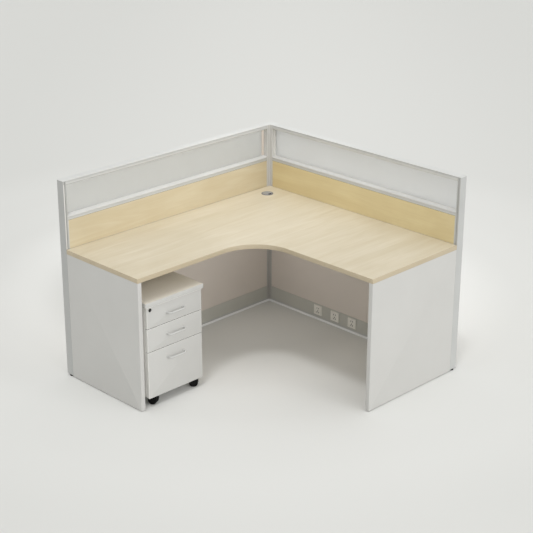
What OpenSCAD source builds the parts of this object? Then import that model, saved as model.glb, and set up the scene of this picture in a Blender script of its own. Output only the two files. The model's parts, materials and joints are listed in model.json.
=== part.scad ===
// Corner workstation for one person: an L of two framed partitions, a maple
// worktop on two end gables, a floor-level cable raceway with three outlets,
// and a mobile pedestal with three drawers that stands under the back wing.
// X runs along the back run, Y along the return run, Z up from the floor.
// The origin is on the floor, under the middle of the overall box.

/* [Partitions] */
// Length of the back run, outside of the corner included
back_run_l = 1575; // [1450:5:1800]
// Length of the return run, outside of the corner included
return_run_l = 1465; // [1350:5:1800]
// Height of the partitions above the floor
panel_h = 1130; // [1060:5:1300]
// Thickness of the partitions
panel_t = 50; // [46:1:60]
// Clear height under the frames
floor_gap = 10; // [8:1:20]
// Face width of every stile
stile_w = 20; // [20:1:30]
// Height of the top rail
top_rail_h = 20; // [18:1:30]
// Height of the glazing rail's upper face above the floor, in a panel of the usual height
sill_z = 930; // [880:5:980]
// Height of the glazing in a panel of the usual height
glass_h = 180; // [120:5:300]
// Height of the glazing rail
mid_rail_h = 18; // [14:1:40]
// Height of the rail behind the worktop
belt_rail_h = 20; // [18:1:40]
// Height of the bottom rail
bottom_rail_h = 10; // [8:1:16]
// Wall of the frame extrusions
frame_wall = 2.5; // [1.5:0.5:3]
// Width of the groove in the frame faces
groove_w = 5; // [3:0.5:6]
// Depth of the groove in the frame faces
groove_d = 3.5; // [2:0.5:5]
// Drop from the upper edge of a rail to its groove
groove_drop = 4; // [3:0.5:8]
// Thickness of the cap on each post
cap_t = 3; // [2:0.5:5]
// Radius of the corner post's centre boss
boss_r = 8; // [7:0.5:10]

/* [Glazing and tiles] */
// Thickness of the frosted glass
glass_t = 6; // [4:1:8]
// Edge clearance of the glass in its frame
glass_play = 0.8; // [0.3:0.1:1]
// Width and depth of the glazing beads
bead_w = 9; // [6:1:14]
// Rise of the sloped glazing sill towards the glass
sill_rise = 13; // [8:1:20]
// Front height of the glazing sill
sill_lip = 2; // [1:0.5:4]
// Thickness of the panel tiles
tile_t = 12; // [8:1:16]
// Set-back of the tile faces behind the frame faces
tile_inset = 1; // [0.5:0.5:3]

/* [Cable raceway] */
// Height of the top of the raceway above the floor
raceway_z = 100; // [95:5:160]
// Sheet thickness of the raceway covers
cover_t = 1.5; // [1:0.5:3]
// Depth of the covers' folded lips
cover_lip = 12; // [8:1:18]
// Distance from the inner corner to the first outlet
socket_start = 416; // [300:1:520]
// Distance between two outlets
socket_pitch = 136; // [100:1:160]
// Width of an outlet's face plate
socket_w = 63; // [58:1:80]
// Height of an outlet's face plate
socket_h = 60; // [54:1:64]
// Height of the outlets' centres above the floor
socket_z = 62; // [60:1:64]
// Thickness of an outlet's face plate
socket_t = 5; // [3:1:8]
// Depth of an outlet's body inside the raceway
socket_body_d = 26; // [18:1:32]
// Border of the face plate around the body
socket_rim = 7; // [4:1:10]
// Length of a contact slot
slot_l = 7; // [5:0.5:8]
// Width of a contact slot
slot_w = 2; // [1.5:0.5:3]
// Distance between the two slots of a pair
slot_pitch = 14; // [11:1:18]
// Offset of the upper and lower slots from the plate's centre
slot_rise = 12; // [10:1:14]

/* [Worktop and gables] */
// Height of the worktop's upper face
worktop_z = 750; // [720:5:780]
// Thickness of the worktop
worktop_t = 25; // [18:1:30]
// Depth of the back wing
back_wing_d = 580; // [560:5:700]
// Depth of the return wing
return_wing_d = 685; // [600:5:760]
// Radius of the inner front corner
inner_r = 240; // [120:10:320]
// Thickness of the edge band
band_t = 2; // [1:0.5:3]
// Thickness of the gables
gable_t = 25; // [18:1:30]
// Thickness of the glides under the gables
glide_t = 4; // [2:0.5:8]
// Radius of the glides
glide_r = 8; // [6:0.5:9]
// Distance of the glides from the gable's edges
glide_in = 50; // [30:5:80]
// Distance of the grommet from the return run
grommet_x = 115; // [80:5:200]
// Distance of the grommet from the back run
grommet_y = 96; // [80:1:200]
// Radius of the grommet hole
grommet_r = 30; // [25:1:36]
// Width of the grommet's flange around the hole
flange_w = 5.5; // [4:0.5:12]
// Height of the grommet's flange
flange_t = 3; // [2:0.5:4]
// Wall of the grommet's sleeve
sleeve_t = 2; // [1.5:0.5:3]
// Depth of the grommet's sleeve
sleeve_d = 18; // [12:1:22]
// Thickness of the grommet's cap
grommet_cap_t = 2.5; // [2:0.5:4]
// Width of the ledge that carries the cap
ledge_w = 2.5; // [2:0.5:4]
// Width of the cable mouth in the cap
mouth_w = 24; // [16:1:30]
// Length of the cable mouth in the cap
mouth_l = 15; // [12:1:20]

/* [Brackets and feet] */
// Leg of the gable angles and of the corner bracket's flanges
angle_leg = 30; // [24:1:50]
// Length of the gable angles
angle_l = 44; // [36:1:80]
// Sheet thickness of the brackets
bracket_t = 2; // [1.5:0.5:4]
// Length of the corner bracket along each run
corner_l = 150; // [120:5:240]
// Shank radius of the screws
screw_r = 2; // [1.5:0.25:3]
// Length of the screws' shanks
screw_l = 14; // [10:1:16]
// Head radius of the screws
head_r = 4; // [3.5:0.5:5]
// Head height of the screws
head_h = 2; // [1.5:0.5:3]
// Half the distance between the two screws of a leg
screw_half = 13; // [9:1:16]
// Distance of the screws from the angle's bend
screw_out = 18; // [14:1:20]
// Radius of the levellers under the end posts
foot_r = 10; // [8:0.5:10]
// Radius of the leveller under the corner post
corner_foot_r = 16; // [12:1:24]
// Height of a leveller's pad
foot_h = 7; // [5:0.5:8]
// Radius of the levellers' studs
stud_r = 4; // [3:0.5:5]
// Length of the stud inside its post
stud_in = 20; // [12:1:30]
// Height of the threaded plug in the foot of each post
plug_h = 16; // [12:1:30]

/* [Pedestal] */
// Width of the pedestal's body
ped_w = 380; // [360:5:420]
// Depth of the pedestal, drawer fronts included
ped_d = 500; // [460:5:540]
// Height of the pedestal, castors included
ped_h = 600; // [580:5:660]
// Distance between the left gable and the pedestal's body
ped_gap = 29; // [20:1:200]
// Depth left free behind the pedestal when its fronts are flush with the worktop
ped_back_gap = 80; // [40:5:200]
// Set-back of the drawer fronts from that flush place
ped_setback = 2; // [0:1:40]
// Thickness of the pedestal's top board
ped_top_t = 25; // [16:1:28]
// Overhang of the top board at each side
ped_over = 10; // [4:1:16]
// Overhang of the top board in front of the drawer fronts
ped_over_front = 6; // [0.5:0.5:12]
// Thickness of the carcass boards
board_t = 16; // [12:1:18]
// Thickness of the drawer fronts
front_t = 18; // [16:1:20]
// Gap between two drawer fronts
front_gap = 3; // [2:0.5:5]
// Set-back of the drawer fronts from the body's sides
front_reveal = 2; // [1:0.5:4]
// Gap between the closed fronts and the carcass
stop_gap = 1.5; // [1:0.5:3]
// Height of the upper drawer front
front_1_h = 118; // [105:1:140]
// Height of the middle drawer front
front_2_h = 130; // [110:1:150]
// Drop of the lower drawer front below the carcass
front_drop = 5; // [2:1:5]

/* [Drawers] */
// Travel of the drawers
drawer_travel = 320; // [240:10:340]
// Length of the drawer boxes
box_l = 430; // [400:5:440]
// Wall of the drawer boxes
box_wall = 12; // [9:1:14]
// Thickness of the drawer bottoms
box_floor = 4; // [3:1:8]
// Free height above a drawer box, behind its own front
box_head = 26; // [22:1:40]
// Free height below a drawer box, behind its own front
box_sole = 10; // [6:1:14]
// Free height between the lower box and the carcass base
base_clear = 6; // [4:1:20]
// Width of the runner space at each side
runner_w = 12.5; // [11:0.5:16]
// Height of the runners
runner_h = 36; // [30:1:46]
// Sheet thickness of the runners
runner_wall = 1.5; // [1:0.5:2]
// Running clearance of the runners
runner_play = 0.5; // [0.3:0.1:1]
// Length of the runners
runner_l = 400; // [360:5:410]
// Distance from the drawer fronts to the runners
runner_start = 30; // [28:1:36]
// Distance from the box's lower edge up to the runner
runner_up = 12; // [8:1:16]

/* [Handles and lock] */
// Distance between the handle's two feet
handle_pitch = 112; // [96:1:160]
// Reach of the handle in front of the drawer front
handle_reach = 28; // [22:1:36]
// Height of the handle's strap
handle_h = 9; // [6:1:14]
// Thickness of the handle's strap
handle_t = 4; // [3:1:6]
// Outer radius of the bends of the handle's strap
handle_bend = 18; // [8:1:20]
// Radius of the handle's feet
handle_foot_r = 5; // [4:0.5:6]
// Drop of the handle below the upper edge of a front
handle_drop = 60; // [48:1:62]
// Drop of the lock below the upper edge of the top front
lock_drop = 15; // [14:1:24]
// Radius of the lock's barrel
barrel_r = 8; // [7:0.5:9]
// Radius of the lock's rim
rim_r = 10; // [9.5:0.5:12]
// Height of the lock's rim
rim_t = 2; // [1:0.5:4]
// Radius of the lock's plug
plug_r = 5.5; // [4:0.5:6]
// Keyway width
keyway_w = 2; // [1.5:0.5:2.5]
// Keyway height
keyway_h = 7; // [5:0.5:8]
// Keyway depth
keyway_d = 8; // [5:1:12]
// Radius of the crank disc behind the plug
crank_r = 5.5; // [5:0.5:6]
// Thickness of the crank disc
crank_t = 2; // [1.5:0.5:3]
// Offset of the crank pin
crank_e = 3.5; // [3:0.25:4]
// Radius of the crank pin
crank_pin_r = 1.5; // [1:0.25:1.5]
// Length of the crank pin
crank_pin_l = 8; // [6:1:9]
// Width of the lock bar
bar_w = 10; // [8:1:10]
// Thickness of the lock bar
bar_t = 3; // [2:0.5:4]
// Depth of the groove that guides the lock bar
bar_groove = 2; // [1:0.5:3]
// Thickness of the lock bar's ledge and catches
catch_t = 7; // [6:0.5:8]
// Reach of the ledge and catches from the bar
catch_reach = 6; // [5:0.5:7]
// Radius of the catch pegs on the drawer boxes
peg_r = 2.5; // [2:0.25:3]
// Length of the catch pegs
peg_l = 7; // [6:0.5:8]
// Play between the crank pin and the bar's ledge
lock_play = 0.9; // [0.8:0.1:1.5]

/* [Castors] */
// Height of the castors, plate included
castor_h = 60; // [58:1:70]
// Radius of the wheels
wheel_r = 25; // [22:0.5:25]
// Width of each wheel
wheel_w = 13; // [10:1:16]
// Round of the wheel's tread edges
tread_r = 3; // [2:0.5:4]
// Trail of the wheel axle behind the swivel pin
trail = 18; // [14:1:20]
// Thickness of the web between the wheels
web_t = 8; // [6:1:12]
// Radius of the axle
axle_r = 3; // [2.5:0.5:4]
// Wall of the hood over the wheels
hood_t = 2; // [1.5:0.5:3]
// Clearance between wheel and hood
wheel_play = 1; // [0.6:0.1:1.5]
// Radius of the swivel boss
swivel_r = 8; // [7:0.5:10]
// Radius of the swivel pin
pin_r = 4; // [3:0.5:5]
// Length of the swivel pin inside the base board
pin_in = 10; // [8:1:11]
// Side of the castor plates
plate_w = 42; // [36:1:60]
// Thickness of the castor plates
plate_t = 3; // [2:0.5:4]
// Distance from the body's sides to the swivel pins
castor_in_x = 48; // [40:1:90]
// Distance from the front and back to the swivel pins
castor_in_y = 50; // [48:1:90]

/* [Hidden] */
// Face-to-face assembly gap of boards and tiles
fit = 0.3;
// Radial running clearance of pins and plugs
run = 0.06;
// Radial clearance of screws and fixed barrels in their holes
loose = 0.1;
// Overrun of a cut past the surface it leaves
cut = 1;

CASTORS = ["front_left", "front_right", "rear_left", "rear_right"];
// Side, end and resting turn of each castor, in degrees
castor_sides = [-1, 1, -1, 1];
castor_ends = [0, 0, 1, 1];
castor_turns = [25, 50, -20, 12];

// Overall places
x_left = -back_run_l / 2;
x_right = back_run_l / 2;
y_front = -return_run_l / 2;
y_back = return_run_l / 2;
x_in = x_right - panel_t;
y_in = y_back - panel_t;
x_work = x_in - return_wing_d;
y_work = y_in - back_wing_d;
under_z = worktop_z - worktop_t;
back_len = back_run_l - panel_t;
return_len = return_run_l - panel_t;

// Levels of the panels. Tile and glazing share the height above the worktop in
// the ratio of their usual heights.
tile_h = sill_z - mid_rail_h - worktop_z;
upper_h = panel_h - top_rail_h - mid_rail_h - worktop_z;
tile_top = worktop_z + upper_h * tile_h / (tile_h + glass_h);
glass_z = tile_top + mid_rail_h;
belt_z = worktop_z - belt_rail_h;
cover_z = floor_gap + bottom_rail_h;
glass_in = (panel_t - glass_t) / 2;

// Places in the pedestal's own frame: X from its middle, Y back from the
// drawer fronts, Z from the floor
ped_x = x_left + gable_t + ped_gap + ped_w / 2;
ped_y = y_in - ped_back_gap - ped_d + ped_setback;
carcass_y = front_t + stop_gap;
top_z = ped_h - ped_top_t;
inside_w = ped_w - 2 * board_t;
front_w = ped_w - 2 * front_reveal;
fronts_top = top_z - front_gap;
front_2_top = fronts_top - front_1_h - front_gap;
front_3_top = front_2_top - front_2_h - front_gap;
front_low = castor_h - front_drop;
front_tops = [fronts_top, front_2_top, front_3_top];
front_hs = [front_1_h, front_2_h, front_3_top - front_low];
box_w = inside_w - 2 * runner_w;
box_lows = [
    fronts_top - front_1_h + box_sole,
    front_2_top - front_2_h + box_sole,
    castor_h + board_t + base_clear
];
lock_z = fronts_top - lock_drop;
// The bar stands between the fronts and the runners
bar_y = carcass_y + crank_t + cut;
bar_x = -inside_w / 2 - bar_groove + fit;
lock_x = bar_x + bar_t + crank_e + crank_pin_r + fit;
catch_x = bar_x + bar_t + catch_reach;
peg_y = bar_y + bar_w + peg_r + cut;
peg_zs = [for (i = [0 : 2]) box_lows[i] + runner_up + runner_h + catch_t + peg_r + cut];
wheel_step = web_t / 2 + wheel_play / 2;

// Frames of the two runs. In a run's own frame X runs from the free end to
// the corner, Y from the inner face outwards, and Z up.
module on_back() translate([x_left, y_in, 0]) children();
module on_return() translate([x_in, y_front, 0]) mirror([1, -1, 0]) children();
module each_run() {
    on_back() let ($run_l = back_len) children();
    on_return() let ($run_l = return_len) children();
}
// The same piece on the inner and on the outer side of a run
module both_faces() {
    children();
    outer_face() children();
}
module outer_face() translate([0, panel_t, 0]) mirror([0, 1, 0]) children();
module on_pedestal() translate([ped_x, ped_y, 0]) children();

// A bar along X whose cross-section is drawn in Y and Z
module along_x(l) rotate([90, 0, 90]) linear_extrude(l) children();
// A bar along Y, from y = 0 inwards, whose cross-section is drawn in X and Z
module along_y(l) translate([0, l, 0]) rotate([90, 0, 0]) linear_extrude(l) children();

// Partition frame
module stile_section(w) {
    core_d = panel_t - 2 * (groove_d + frame_wall);
    difference() {
        square([w, panel_t]);
        for (y = [-cut, panel_t - groove_d])
            translate([(w - groove_w) / 2, y]) square([groove_w, groove_d + cut]);
        translate([frame_wall, groove_d + frame_wall]) square([w - 2 * frame_wall, core_d]);
    }
}
module stile(w, top) {
    translate([0, 0, floor_gap]) linear_extrude(top - floor_gap) stile_section(w);
    translate([frame_wall, groove_d + frame_wall, floor_gap])
        cube([w - 2 * frame_wall, panel_t - 2 * (groove_d + frame_wall), plug_h]);
}
module end_post() difference() {
    stile(stile_w, panel_h - cap_t);
    translate([stile_w / 2, panel_t / 2, floor_gap - cut])
        cylinder(r = stud_r + run, h = plug_h + 2 * cut, $fn = 48);
}
module left_end_post() color("lightgray") on_back() end_post();
module right_end_post() color("lightgray") on_return() end_post();
module inner_stiles() color("lightgray") difference() {
    each_run() translate([$run_l - stile_w, 0, 0]) stile(stile_w, panel_h - cap_t);
    bracket_screw_places() pilot();
}
module corner_section() {
    chamber = (panel_t - 3 * frame_wall) / 2;
    difference() {
        square(panel_t);
        for (x = [frame_wall, 2 * frame_wall + chamber], y = [frame_wall, 2 * frame_wall + chamber])
            translate([x, y]) square(chamber);
    }
    translate([panel_t / 2, panel_t / 2]) circle(r = boss_r, $fn = 48);
}
module corner_post() color("lightgray") translate([x_in, y_in, 0]) difference() {
    translate([0, 0, floor_gap]) linear_extrude(panel_h - cap_t - floor_gap) corner_section();
    translate([panel_t / 2, panel_t / 2, floor_gap - cut])
        cylinder(r = stud_r + run, h = stud_in + plug_h, $fn = 48);
}
module post_caps() color("whitesmoke") {
    z = panel_h - cap_t;
    on_back() translate([0, 0, z]) cube([stile_w, panel_t, cap_t]);
    on_return() translate([0, 0, z]) cube([stile_w, panel_t, cap_t]);
    translate([x_in - stile_w, y_in, z]) cube([panel_t + stile_w, panel_t, cap_t]);
    translate([x_in, y_in - stile_w, z]) cube([panel_t, stile_w + cut, cap_t]);
}

// Rails, whose faces carry a groove below the upper edge
module rail_section(h, grooved = true) difference() {
    square([panel_t, h]);
    if (grooved) {
        for (y = [-cut, panel_t - groove_d])
            translate([y, h - groove_drop - groove_w]) square([groove_d + cut, groove_w]);
        translate([groove_d + frame_wall, frame_wall])
            square([panel_t - 2 * (groove_d + frame_wall), h - 2 * frame_wall]);
    }
}
module rail(z, h, grooved = true) translate([stile_w, 0, z])
    along_x($run_l - 2 * stile_w) rail_section(h, grooved);
module top_rails() color("whitesmoke") each_run() rail(panel_h - top_rail_h, top_rail_h);
module mid_rails() color("lightgray") each_run() rail(tile_top, mid_rail_h);
module lower_rails() color("lightgray") each_run() {
    rail(belt_z, belt_rail_h);
    rail(floor_gap, bottom_rail_h, false);
}

// Glazing
module glass_pane() {
    side = stile_w + glass_play;
    low = glass_z + glass_play;
    translate([side, glass_in, low])
        cube([$run_l - 2 * side, glass_t, panel_h - top_rail_h - glass_play - low]);
}
module back_glass() color([0.8, 0.85, 0.85, 0.6]) on_back() let ($run_l = back_len) glass_pane();
module return_glass() color([0.8, 0.85, 0.85, 0.6]) on_return() let ($run_l = return_len) glass_pane();
// The sloped sill, the head bead and the two upright beads of one face
module sill_section() polygon([
    [tile_inset, 0], [glass_in, 0], [glass_in, sill_rise], [tile_inset, sill_lip]]);
module sill_bead() translate([stile_w, 0, glass_z]) along_x($run_l - 2 * stile_w) sill_section();
module face_beads() {
    head_z = panel_h - top_rail_h - bead_w;
    sill_bead();
    translate([stile_w, glass_in - bead_w, head_z]) cube([$run_l - 2 * stile_w, bead_w, bead_w]);
    for (x = [stile_w, $run_l - stile_w - bead_w]) difference() {
        translate([x, glass_in - bead_w, glass_z]) cube([bead_w, bead_w, head_z - glass_z]);
        sill_bead();
    }
}
module glazing_beads() color("whitesmoke") each_run() both_faces() face_beads();

// Panel tiles
module tile(low, high) translate([stile_w + fit, tile_inset, low + fit])
    cube([$run_l - 2 * (stile_w + fit), tile_t, high - low - 2 * fit]);
module maple_tile() tile(worktop_z, tile_top);
module back_maple_tile() color("burlywood") on_back() let ($run_l = back_len) maple_tile();
module return_maple_tile() color("burlywood") on_return() let ($run_l = return_len) maple_tile();
module outer_maple_tiles() color("burlywood") each_run() outer_face() maple_tile();
module lower_tiles() color("ivory") each_run() both_faces() tile(raceway_z, belt_z);

// Raceway covers, folded from sheet, and the outlets in the return run
module cover_section() {
    h = raceway_z - cover_z - 2 * fit;
    difference() {
        square([cover_lip, h]);
        translate([cover_t, cover_t]) square([cover_lip, h - 2 * cover_t]);
    }
}
module raceway_cover() translate([stile_w + fit, 0, cover_z + fit])
    along_x($run_l - 2 * (stile_w + fit)) cover_section();
module at_sockets() on_return() for (i = [0 : 2])
    translate([return_len - socket_start - i * socket_pitch, 0, socket_z]) children();
module back_raceway_cover() color("silver") on_back() let ($run_l = back_len) raceway_cover();
module return_raceway_cover() color("silver") difference() {
    on_return() let ($run_l = return_len) raceway_cover();
    at_sockets() socket_body(loose, cut);
}
module outer_raceway_covers() color("silver") each_run() outer_face() raceway_cover();
// The body behind the face plate, grown all round and run out for its cut
module socket_body(grow = 0, out = 0) {
    w = socket_w - 2 * (socket_rim - grow);
    h = socket_h - 2 * (socket_rim - grow);
    translate([-w / 2, -out, -h / 2]) cube([w, socket_body_d + out, h]);
}
module contact_slot(angle = 0) rotate([0, angle, 0])
    translate([-slot_w / 2, -socket_t - cut, -slot_l / 2]) cube([slot_w, 2 * socket_t, slot_l]);
module socket() difference() {
    union() {
        translate([-socket_w / 2, -socket_t, -socket_h / 2]) cube([socket_w, socket_t, socket_h]);
        socket_body();
    }
    for (s = [-1, 1]) {
        translate([s * slot_pitch / 2, 0, slot_rise]) contact_slot();
        translate([s * slot_pitch / 2, 0, -slot_rise - slot_w]) contact_slot(s * 30);
    }
    translate([0, 0, -slot_rise + slot_l]) contact_slot();
}
module sockets() color("white") at_sockets() socket();

// Worktop. The outline is drawn in from its banded edges by inset.
module worktop_shape(inset = 0) difference() {
    union() {
        translate([x_left + inset, y_work + inset])
            square([x_in - fit - x_left - inset, back_wing_d - fit - inset]);
        translate([x_work + inset, y_front + inset])
            square([return_wing_d - fit - inset, y_in - fit - y_front - inset]);
        translate([x_work - inner_r, y_work - inner_r]) square(inner_r + 2 * inset);
    }
    translate([x_work - inner_r, y_work - inner_r]) circle(r = inner_r + inset, $fn = 96);
}
module at_grommet() translate([x_in - grommet_x, y_in - grommet_y, worktop_z]) children();
module worktop() color("wheat") difference() {
    translate([0, 0, under_z]) linear_extrude(worktop_t) worktop_shape(band_t);
    at_grommet() translate([0, 0, -worktop_t - cut])
        cylinder(r = grommet_r, h = worktop_t + 2 * cut, $fn = 96);
    all_screw_places() pilot();
}
module worktop_edge_band() color("tan") translate([0, 0, under_z]) linear_extrude(worktop_t)
    difference() {
        worktop_shape();
        worktop_shape(band_t);
    }

// Grommet: a flanged sleeve and a cap that turns in it
sleeve_r = grommet_r - loose;
cap_r = sleeve_r - sleeve_t;
module grommet_ring() color("gray") at_grommet() difference() {
    union() {
        translate([0, 0, -sleeve_d]) cylinder(r = sleeve_r, h = sleeve_d + flange_t, $fn = 96);
        cylinder(r = grommet_r + flange_w, h = flange_t, $fn = 96);
    }
    translate([0, 0, flange_t - grommet_cap_t]) cylinder(r = cap_r, h = grommet_cap_t + cut, $fn = 96);
    translate([0, 0, -sleeve_d - cut])
        cylinder(r = cap_r - ledge_w, h = sleeve_d + flange_t + cut, $fn = 96);
}
module grommet_cap() color("dimgray") at_grommet() difference() {
    translate([0, 0, flange_t - grommet_cap_t])
        cylinder(r = cap_r - run, h = grommet_cap_t, $fn = 96);
    translate([-mouth_w / 2, -cap_r - cut, 0]) cube([mouth_w, mouth_l + cut, flange_t + cut]);
}

// Gables
module left_gable() color("white") difference() {
    translate([x_left, y_work, glide_t]) cube([gable_t, back_wing_d - fit, under_z - glide_t]);
    all_screw_places() pilot();
}
module right_gable() color("white") difference() {
    translate([x_work, y_front, glide_t]) cube([return_wing_d - fit, gable_t, under_z - glide_t]);
    all_screw_places() pilot();
}
module gable_glides() color("dimgray") {
    for (y = [y_work + glide_in, y_in - glide_in])
        translate([x_left + gable_t / 2, y, 0]) cylinder(r = glide_r, h = glide_t, $fn = 32);
    for (x = [x_work + glide_in, x_in - glide_in])
        translate([x, y_front + gable_t / 2, 0]) cylinder(r = glide_r, h = glide_t, $fn = 32);
}

// Brackets. Each gable has two angles; a folded plate fills the inner corner.
angle_shares = [0.2, 0.8];
module at_angles() for (share = angle_shares) {
    translate([x_left + gable_t, y_work + share * back_wing_d, under_z]) children();
    translate([x_work + share * return_wing_d, y_front + gable_t, under_z])
        mirror([1, -1, 0]) children();
}
module gable_angle() {
    translate([0, -angle_l / 2, -angle_leg]) cube([bracket_t, angle_l, angle_leg]);
    translate([0, -angle_l / 2, -bracket_t]) cube([angle_leg, angle_l, bracket_t]);
}
module corner_bracket() translate([x_in, y_in, under_z]) {
    translate([0, 0, -bracket_t]) linear_extrude(bracket_t)
        polygon([[0, 0], [-corner_l, 0], [0, -corner_l]]);
    translate([-corner_l, -bracket_t, -angle_leg]) cube([corner_l, bracket_t, angle_leg]);
    translate([-bracket_t, -corner_l, -angle_leg]) cube([bracket_t, corner_l, angle_leg]);
}
module worktop_brackets() color("silver") difference() {
    union() {
        at_angles() gable_angle();
        corner_bracket();
    }
    all_screw_places() pilot();
}
// A screw drives along +Z from the outer face of the sheet that it holds
module screw() {
    translate([0, 0, -head_h]) cylinder(r = head_r, h = head_h, $fn = 24);
    cylinder(r = screw_r, h = screw_l, $fn = 24);
}
module pilot() translate([0, 0, -cut]) cylinder(r = screw_r + loose, h = screw_l + 2 * cut, $fn = 24);
module angle_screw_places() at_angles() for (s = [-screw_half, screw_half]) {
    translate([screw_out, s, -bracket_t]) children();
    translate([bracket_t, s, -screw_out]) rotate([0, -90, 0]) children();
}
// Two screws hold the corner bracket to the stiles and three to the worktop
module bracket_screw_places() translate([x_in, y_in, under_z]) {
    side = stile_w / 2;
    translate([-side, -bracket_t, -screw_out]) rotate([-90, 0, 0]) children();
    translate([-bracket_t, -side, -screw_out]) rotate([0, 90, 0]) children();
    for (place = [[-side, -side], [-corner_l / 2, -side], [-side, -corner_l / 2]])
        translate([place[0] - side, place[1] - side, -bracket_t]) children();
}
module all_screw_places() {
    angle_screw_places() children();
    bracket_screw_places() children();
}
module bracket_screws() color("dimgray") all_screw_places() screw();

// Levellers
module leveller(r) {
    cylinder(r = r, h = foot_h, $fn = 48);
    cylinder(r = stud_r, h = floor_gap + stud_in, $fn = 48);
}
module corner_leveller() color("black") translate([x_in + panel_t / 2, y_in + panel_t / 2, 0])
    leveller(corner_foot_r);
module left_leveller() color("black") on_back() translate([stile_w / 2, panel_t / 2, 0])
    leveller(foot_r);
module right_leveller() color("black") on_return() translate([stile_w / 2, panel_t / 2, 0])
    leveller(foot_r);

// Pedestal carcass
module pedestal_sides() color("white") on_pedestal() difference() {
    for (x = [-ped_w / 2, ped_w / 2 - board_t])
        translate([x, carcass_y, castor_h]) cube([board_t, ped_d - carcass_y, top_z - castor_h]);
    translate([-inside_w / 2 - bar_groove, bar_y - fit, castor_h + board_t])
        cube([bar_groove + cut, bar_w + 2 * fit, top_z - castor_h]);
}
module pedestal_back() color("white") on_pedestal()
    translate([-inside_w / 2, ped_d - board_t, castor_h + board_t])
        cube([inside_w, board_t, top_z - castor_h - board_t]);
module pedestal_base() color("white") on_pedestal() difference() {
    translate([-inside_w / 2, carcass_y, castor_h]) cube([inside_w, ped_d - carcass_y, board_t]);
    at_castors() translate([0, 0, castor_h - cut])
        cylinder(r = pin_r + loose, h = pin_in + cut + fit, $fn = 48);
}
module pedestal_top() color("white") on_pedestal()
    translate([-ped_w / 2 - ped_over, -ped_over_front, top_z])
        cube([ped_w + 2 * ped_over, ped_d + ped_over_front, ped_top_t]);

// Runners: a channel on the carcass and a bar on the drawer that runs in it
module runner_channel() difference() {
    square([runner_w - runner_play, runner_h]);
    translate([runner_wall, runner_wall])
        square([runner_w, runner_h - 2 * runner_wall]);
}
module runner_bar() {
    inner_h = runner_h - 2 * (runner_wall + runner_play);
    translate([runner_wall + runner_play, runner_wall + runner_play])
        square([runner_w - runner_wall - runner_play, inner_h]);
}
// Both sides of the pedestal, with X outwards from the middle
module each_side() for (s = [0, 1]) mirror([s, 0, 0]) children();
module at_runners(i) each_side()
    translate([-inside_w / 2, carcass_y + runner_start, box_lows[i] + runner_up]) children();
module cabinet_runners() color("gray") on_pedestal() for (i = [0 : 2])
    at_runners(i) along_y(runner_l) runner_channel();

// Drawers, counted from the top
module drawer_front(i) color("white") on_pedestal() difference() {
    translate([-front_w / 2, 0, front_tops[i] - front_hs[i]]) cube([front_w, front_t, front_hs[i]]);
    if (i == 0) translate([lock_x, front_t + cut, lock_z]) rotate([90, 0, 0])
        cylinder(r = barrel_r + loose, h = front_t + 2 * cut, $fn = 48);
}
box_tops = [for (i = [0 : 2]) front_tops[i] - box_head];
module drawer_box(i) color("gainsboro") on_pedestal() {
    h = box_tops[i] - box_lows[i];
    translate([-box_w / 2, front_t, box_lows[i]]) difference() {
        cube([box_w, box_l, h]);
        translate([box_wall, box_wall, box_floor])
            cube([box_w - 2 * box_wall, box_l - 2 * box_wall, h]);
    }
    translate([-box_w / 2 - peg_l, peg_y, peg_zs[i]]) rotate([0, 90, 0])
        cylinder(r = peg_r, h = peg_l + fit, $fn = 32);
}
module drawer_runners(i) color("gray") on_pedestal() at_runners(i) along_y(runner_l) runner_bar();

// Handle: a strap with a straight grip, bent back to a round foot at each end
handle_half = handle_pitch / 2;
module strap_shape(inset = 0) {
    half = handle_half + handle_t / 2 - inset;
    reach = handle_reach - inset;
    bend = handle_bend - inset;
    translate([-half, bend - reach]) square([2 * half, reach - bend]);
    translate([bend - half, -reach]) square([2 * (half - bend), reach]);
    for (s = [-1, 1]) translate([s * (half - bend), bend - reach]) circle(r = bend, $fn = 96);
}
module drawer_handle(i) color("silver") on_pedestal()
    translate([0, 0, front_tops[i] - handle_drop]) {
        translate([0, 0, -handle_h / 2]) linear_extrude(handle_h) difference() {
            strap_shape();
            strap_shape(handle_t);
            translate([-handle_pitch, 0]) square([2 * handle_pitch, handle_bend]);
        }
        for (x = [-handle_half, handle_half]) translate([x, 0, 0]) rotate([90, 0, 0])
            cylinder(r = handle_foot_r, h = handle_t, $fn = 32);
    }

// Lock: a barrel in the top front, its plug with a crank, and the gang bar
module at_lock() on_pedestal() translate([lock_x, 0, lock_z]) rotate([-90, 0, 0]) children();
module lock_barrel() color("silver") at_lock() difference() {
    union() {
        cylinder(r = barrel_r, h = front_t, $fn = 48);
        translate([0, 0, -rim_t]) cylinder(r = rim_r, h = rim_t, $fn = 48);
    }
    translate([0, 0, -rim_t - cut])
        cylinder(r = plug_r + run, h = front_t + rim_t + 2 * cut, $fn = 48);
}
module lock_plug() color("black") at_lock() {
    crank_z = carcass_y - crank_t / 2;
    difference() {
        translate([0, 0, -rim_t]) cylinder(r = plug_r, h = rim_t + front_t, $fn = 48);
        translate([-keyway_w / 2, -keyway_h / 2, -rim_t - cut])
            cube([keyway_w, keyway_h, keyway_d + cut]);
    }
    translate([0, 0, front_t]) cylinder(r = crank_pin_r, h = crank_z - front_t, $fn = 24);
    translate([0, 0, crank_z]) cylinder(r = crank_r, h = crank_t, $fn = 48);
    translate([0, crank_e, crank_z]) cylinder(r = crank_pin_r, h = crank_pin_l, $fn = 24);
}
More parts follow.
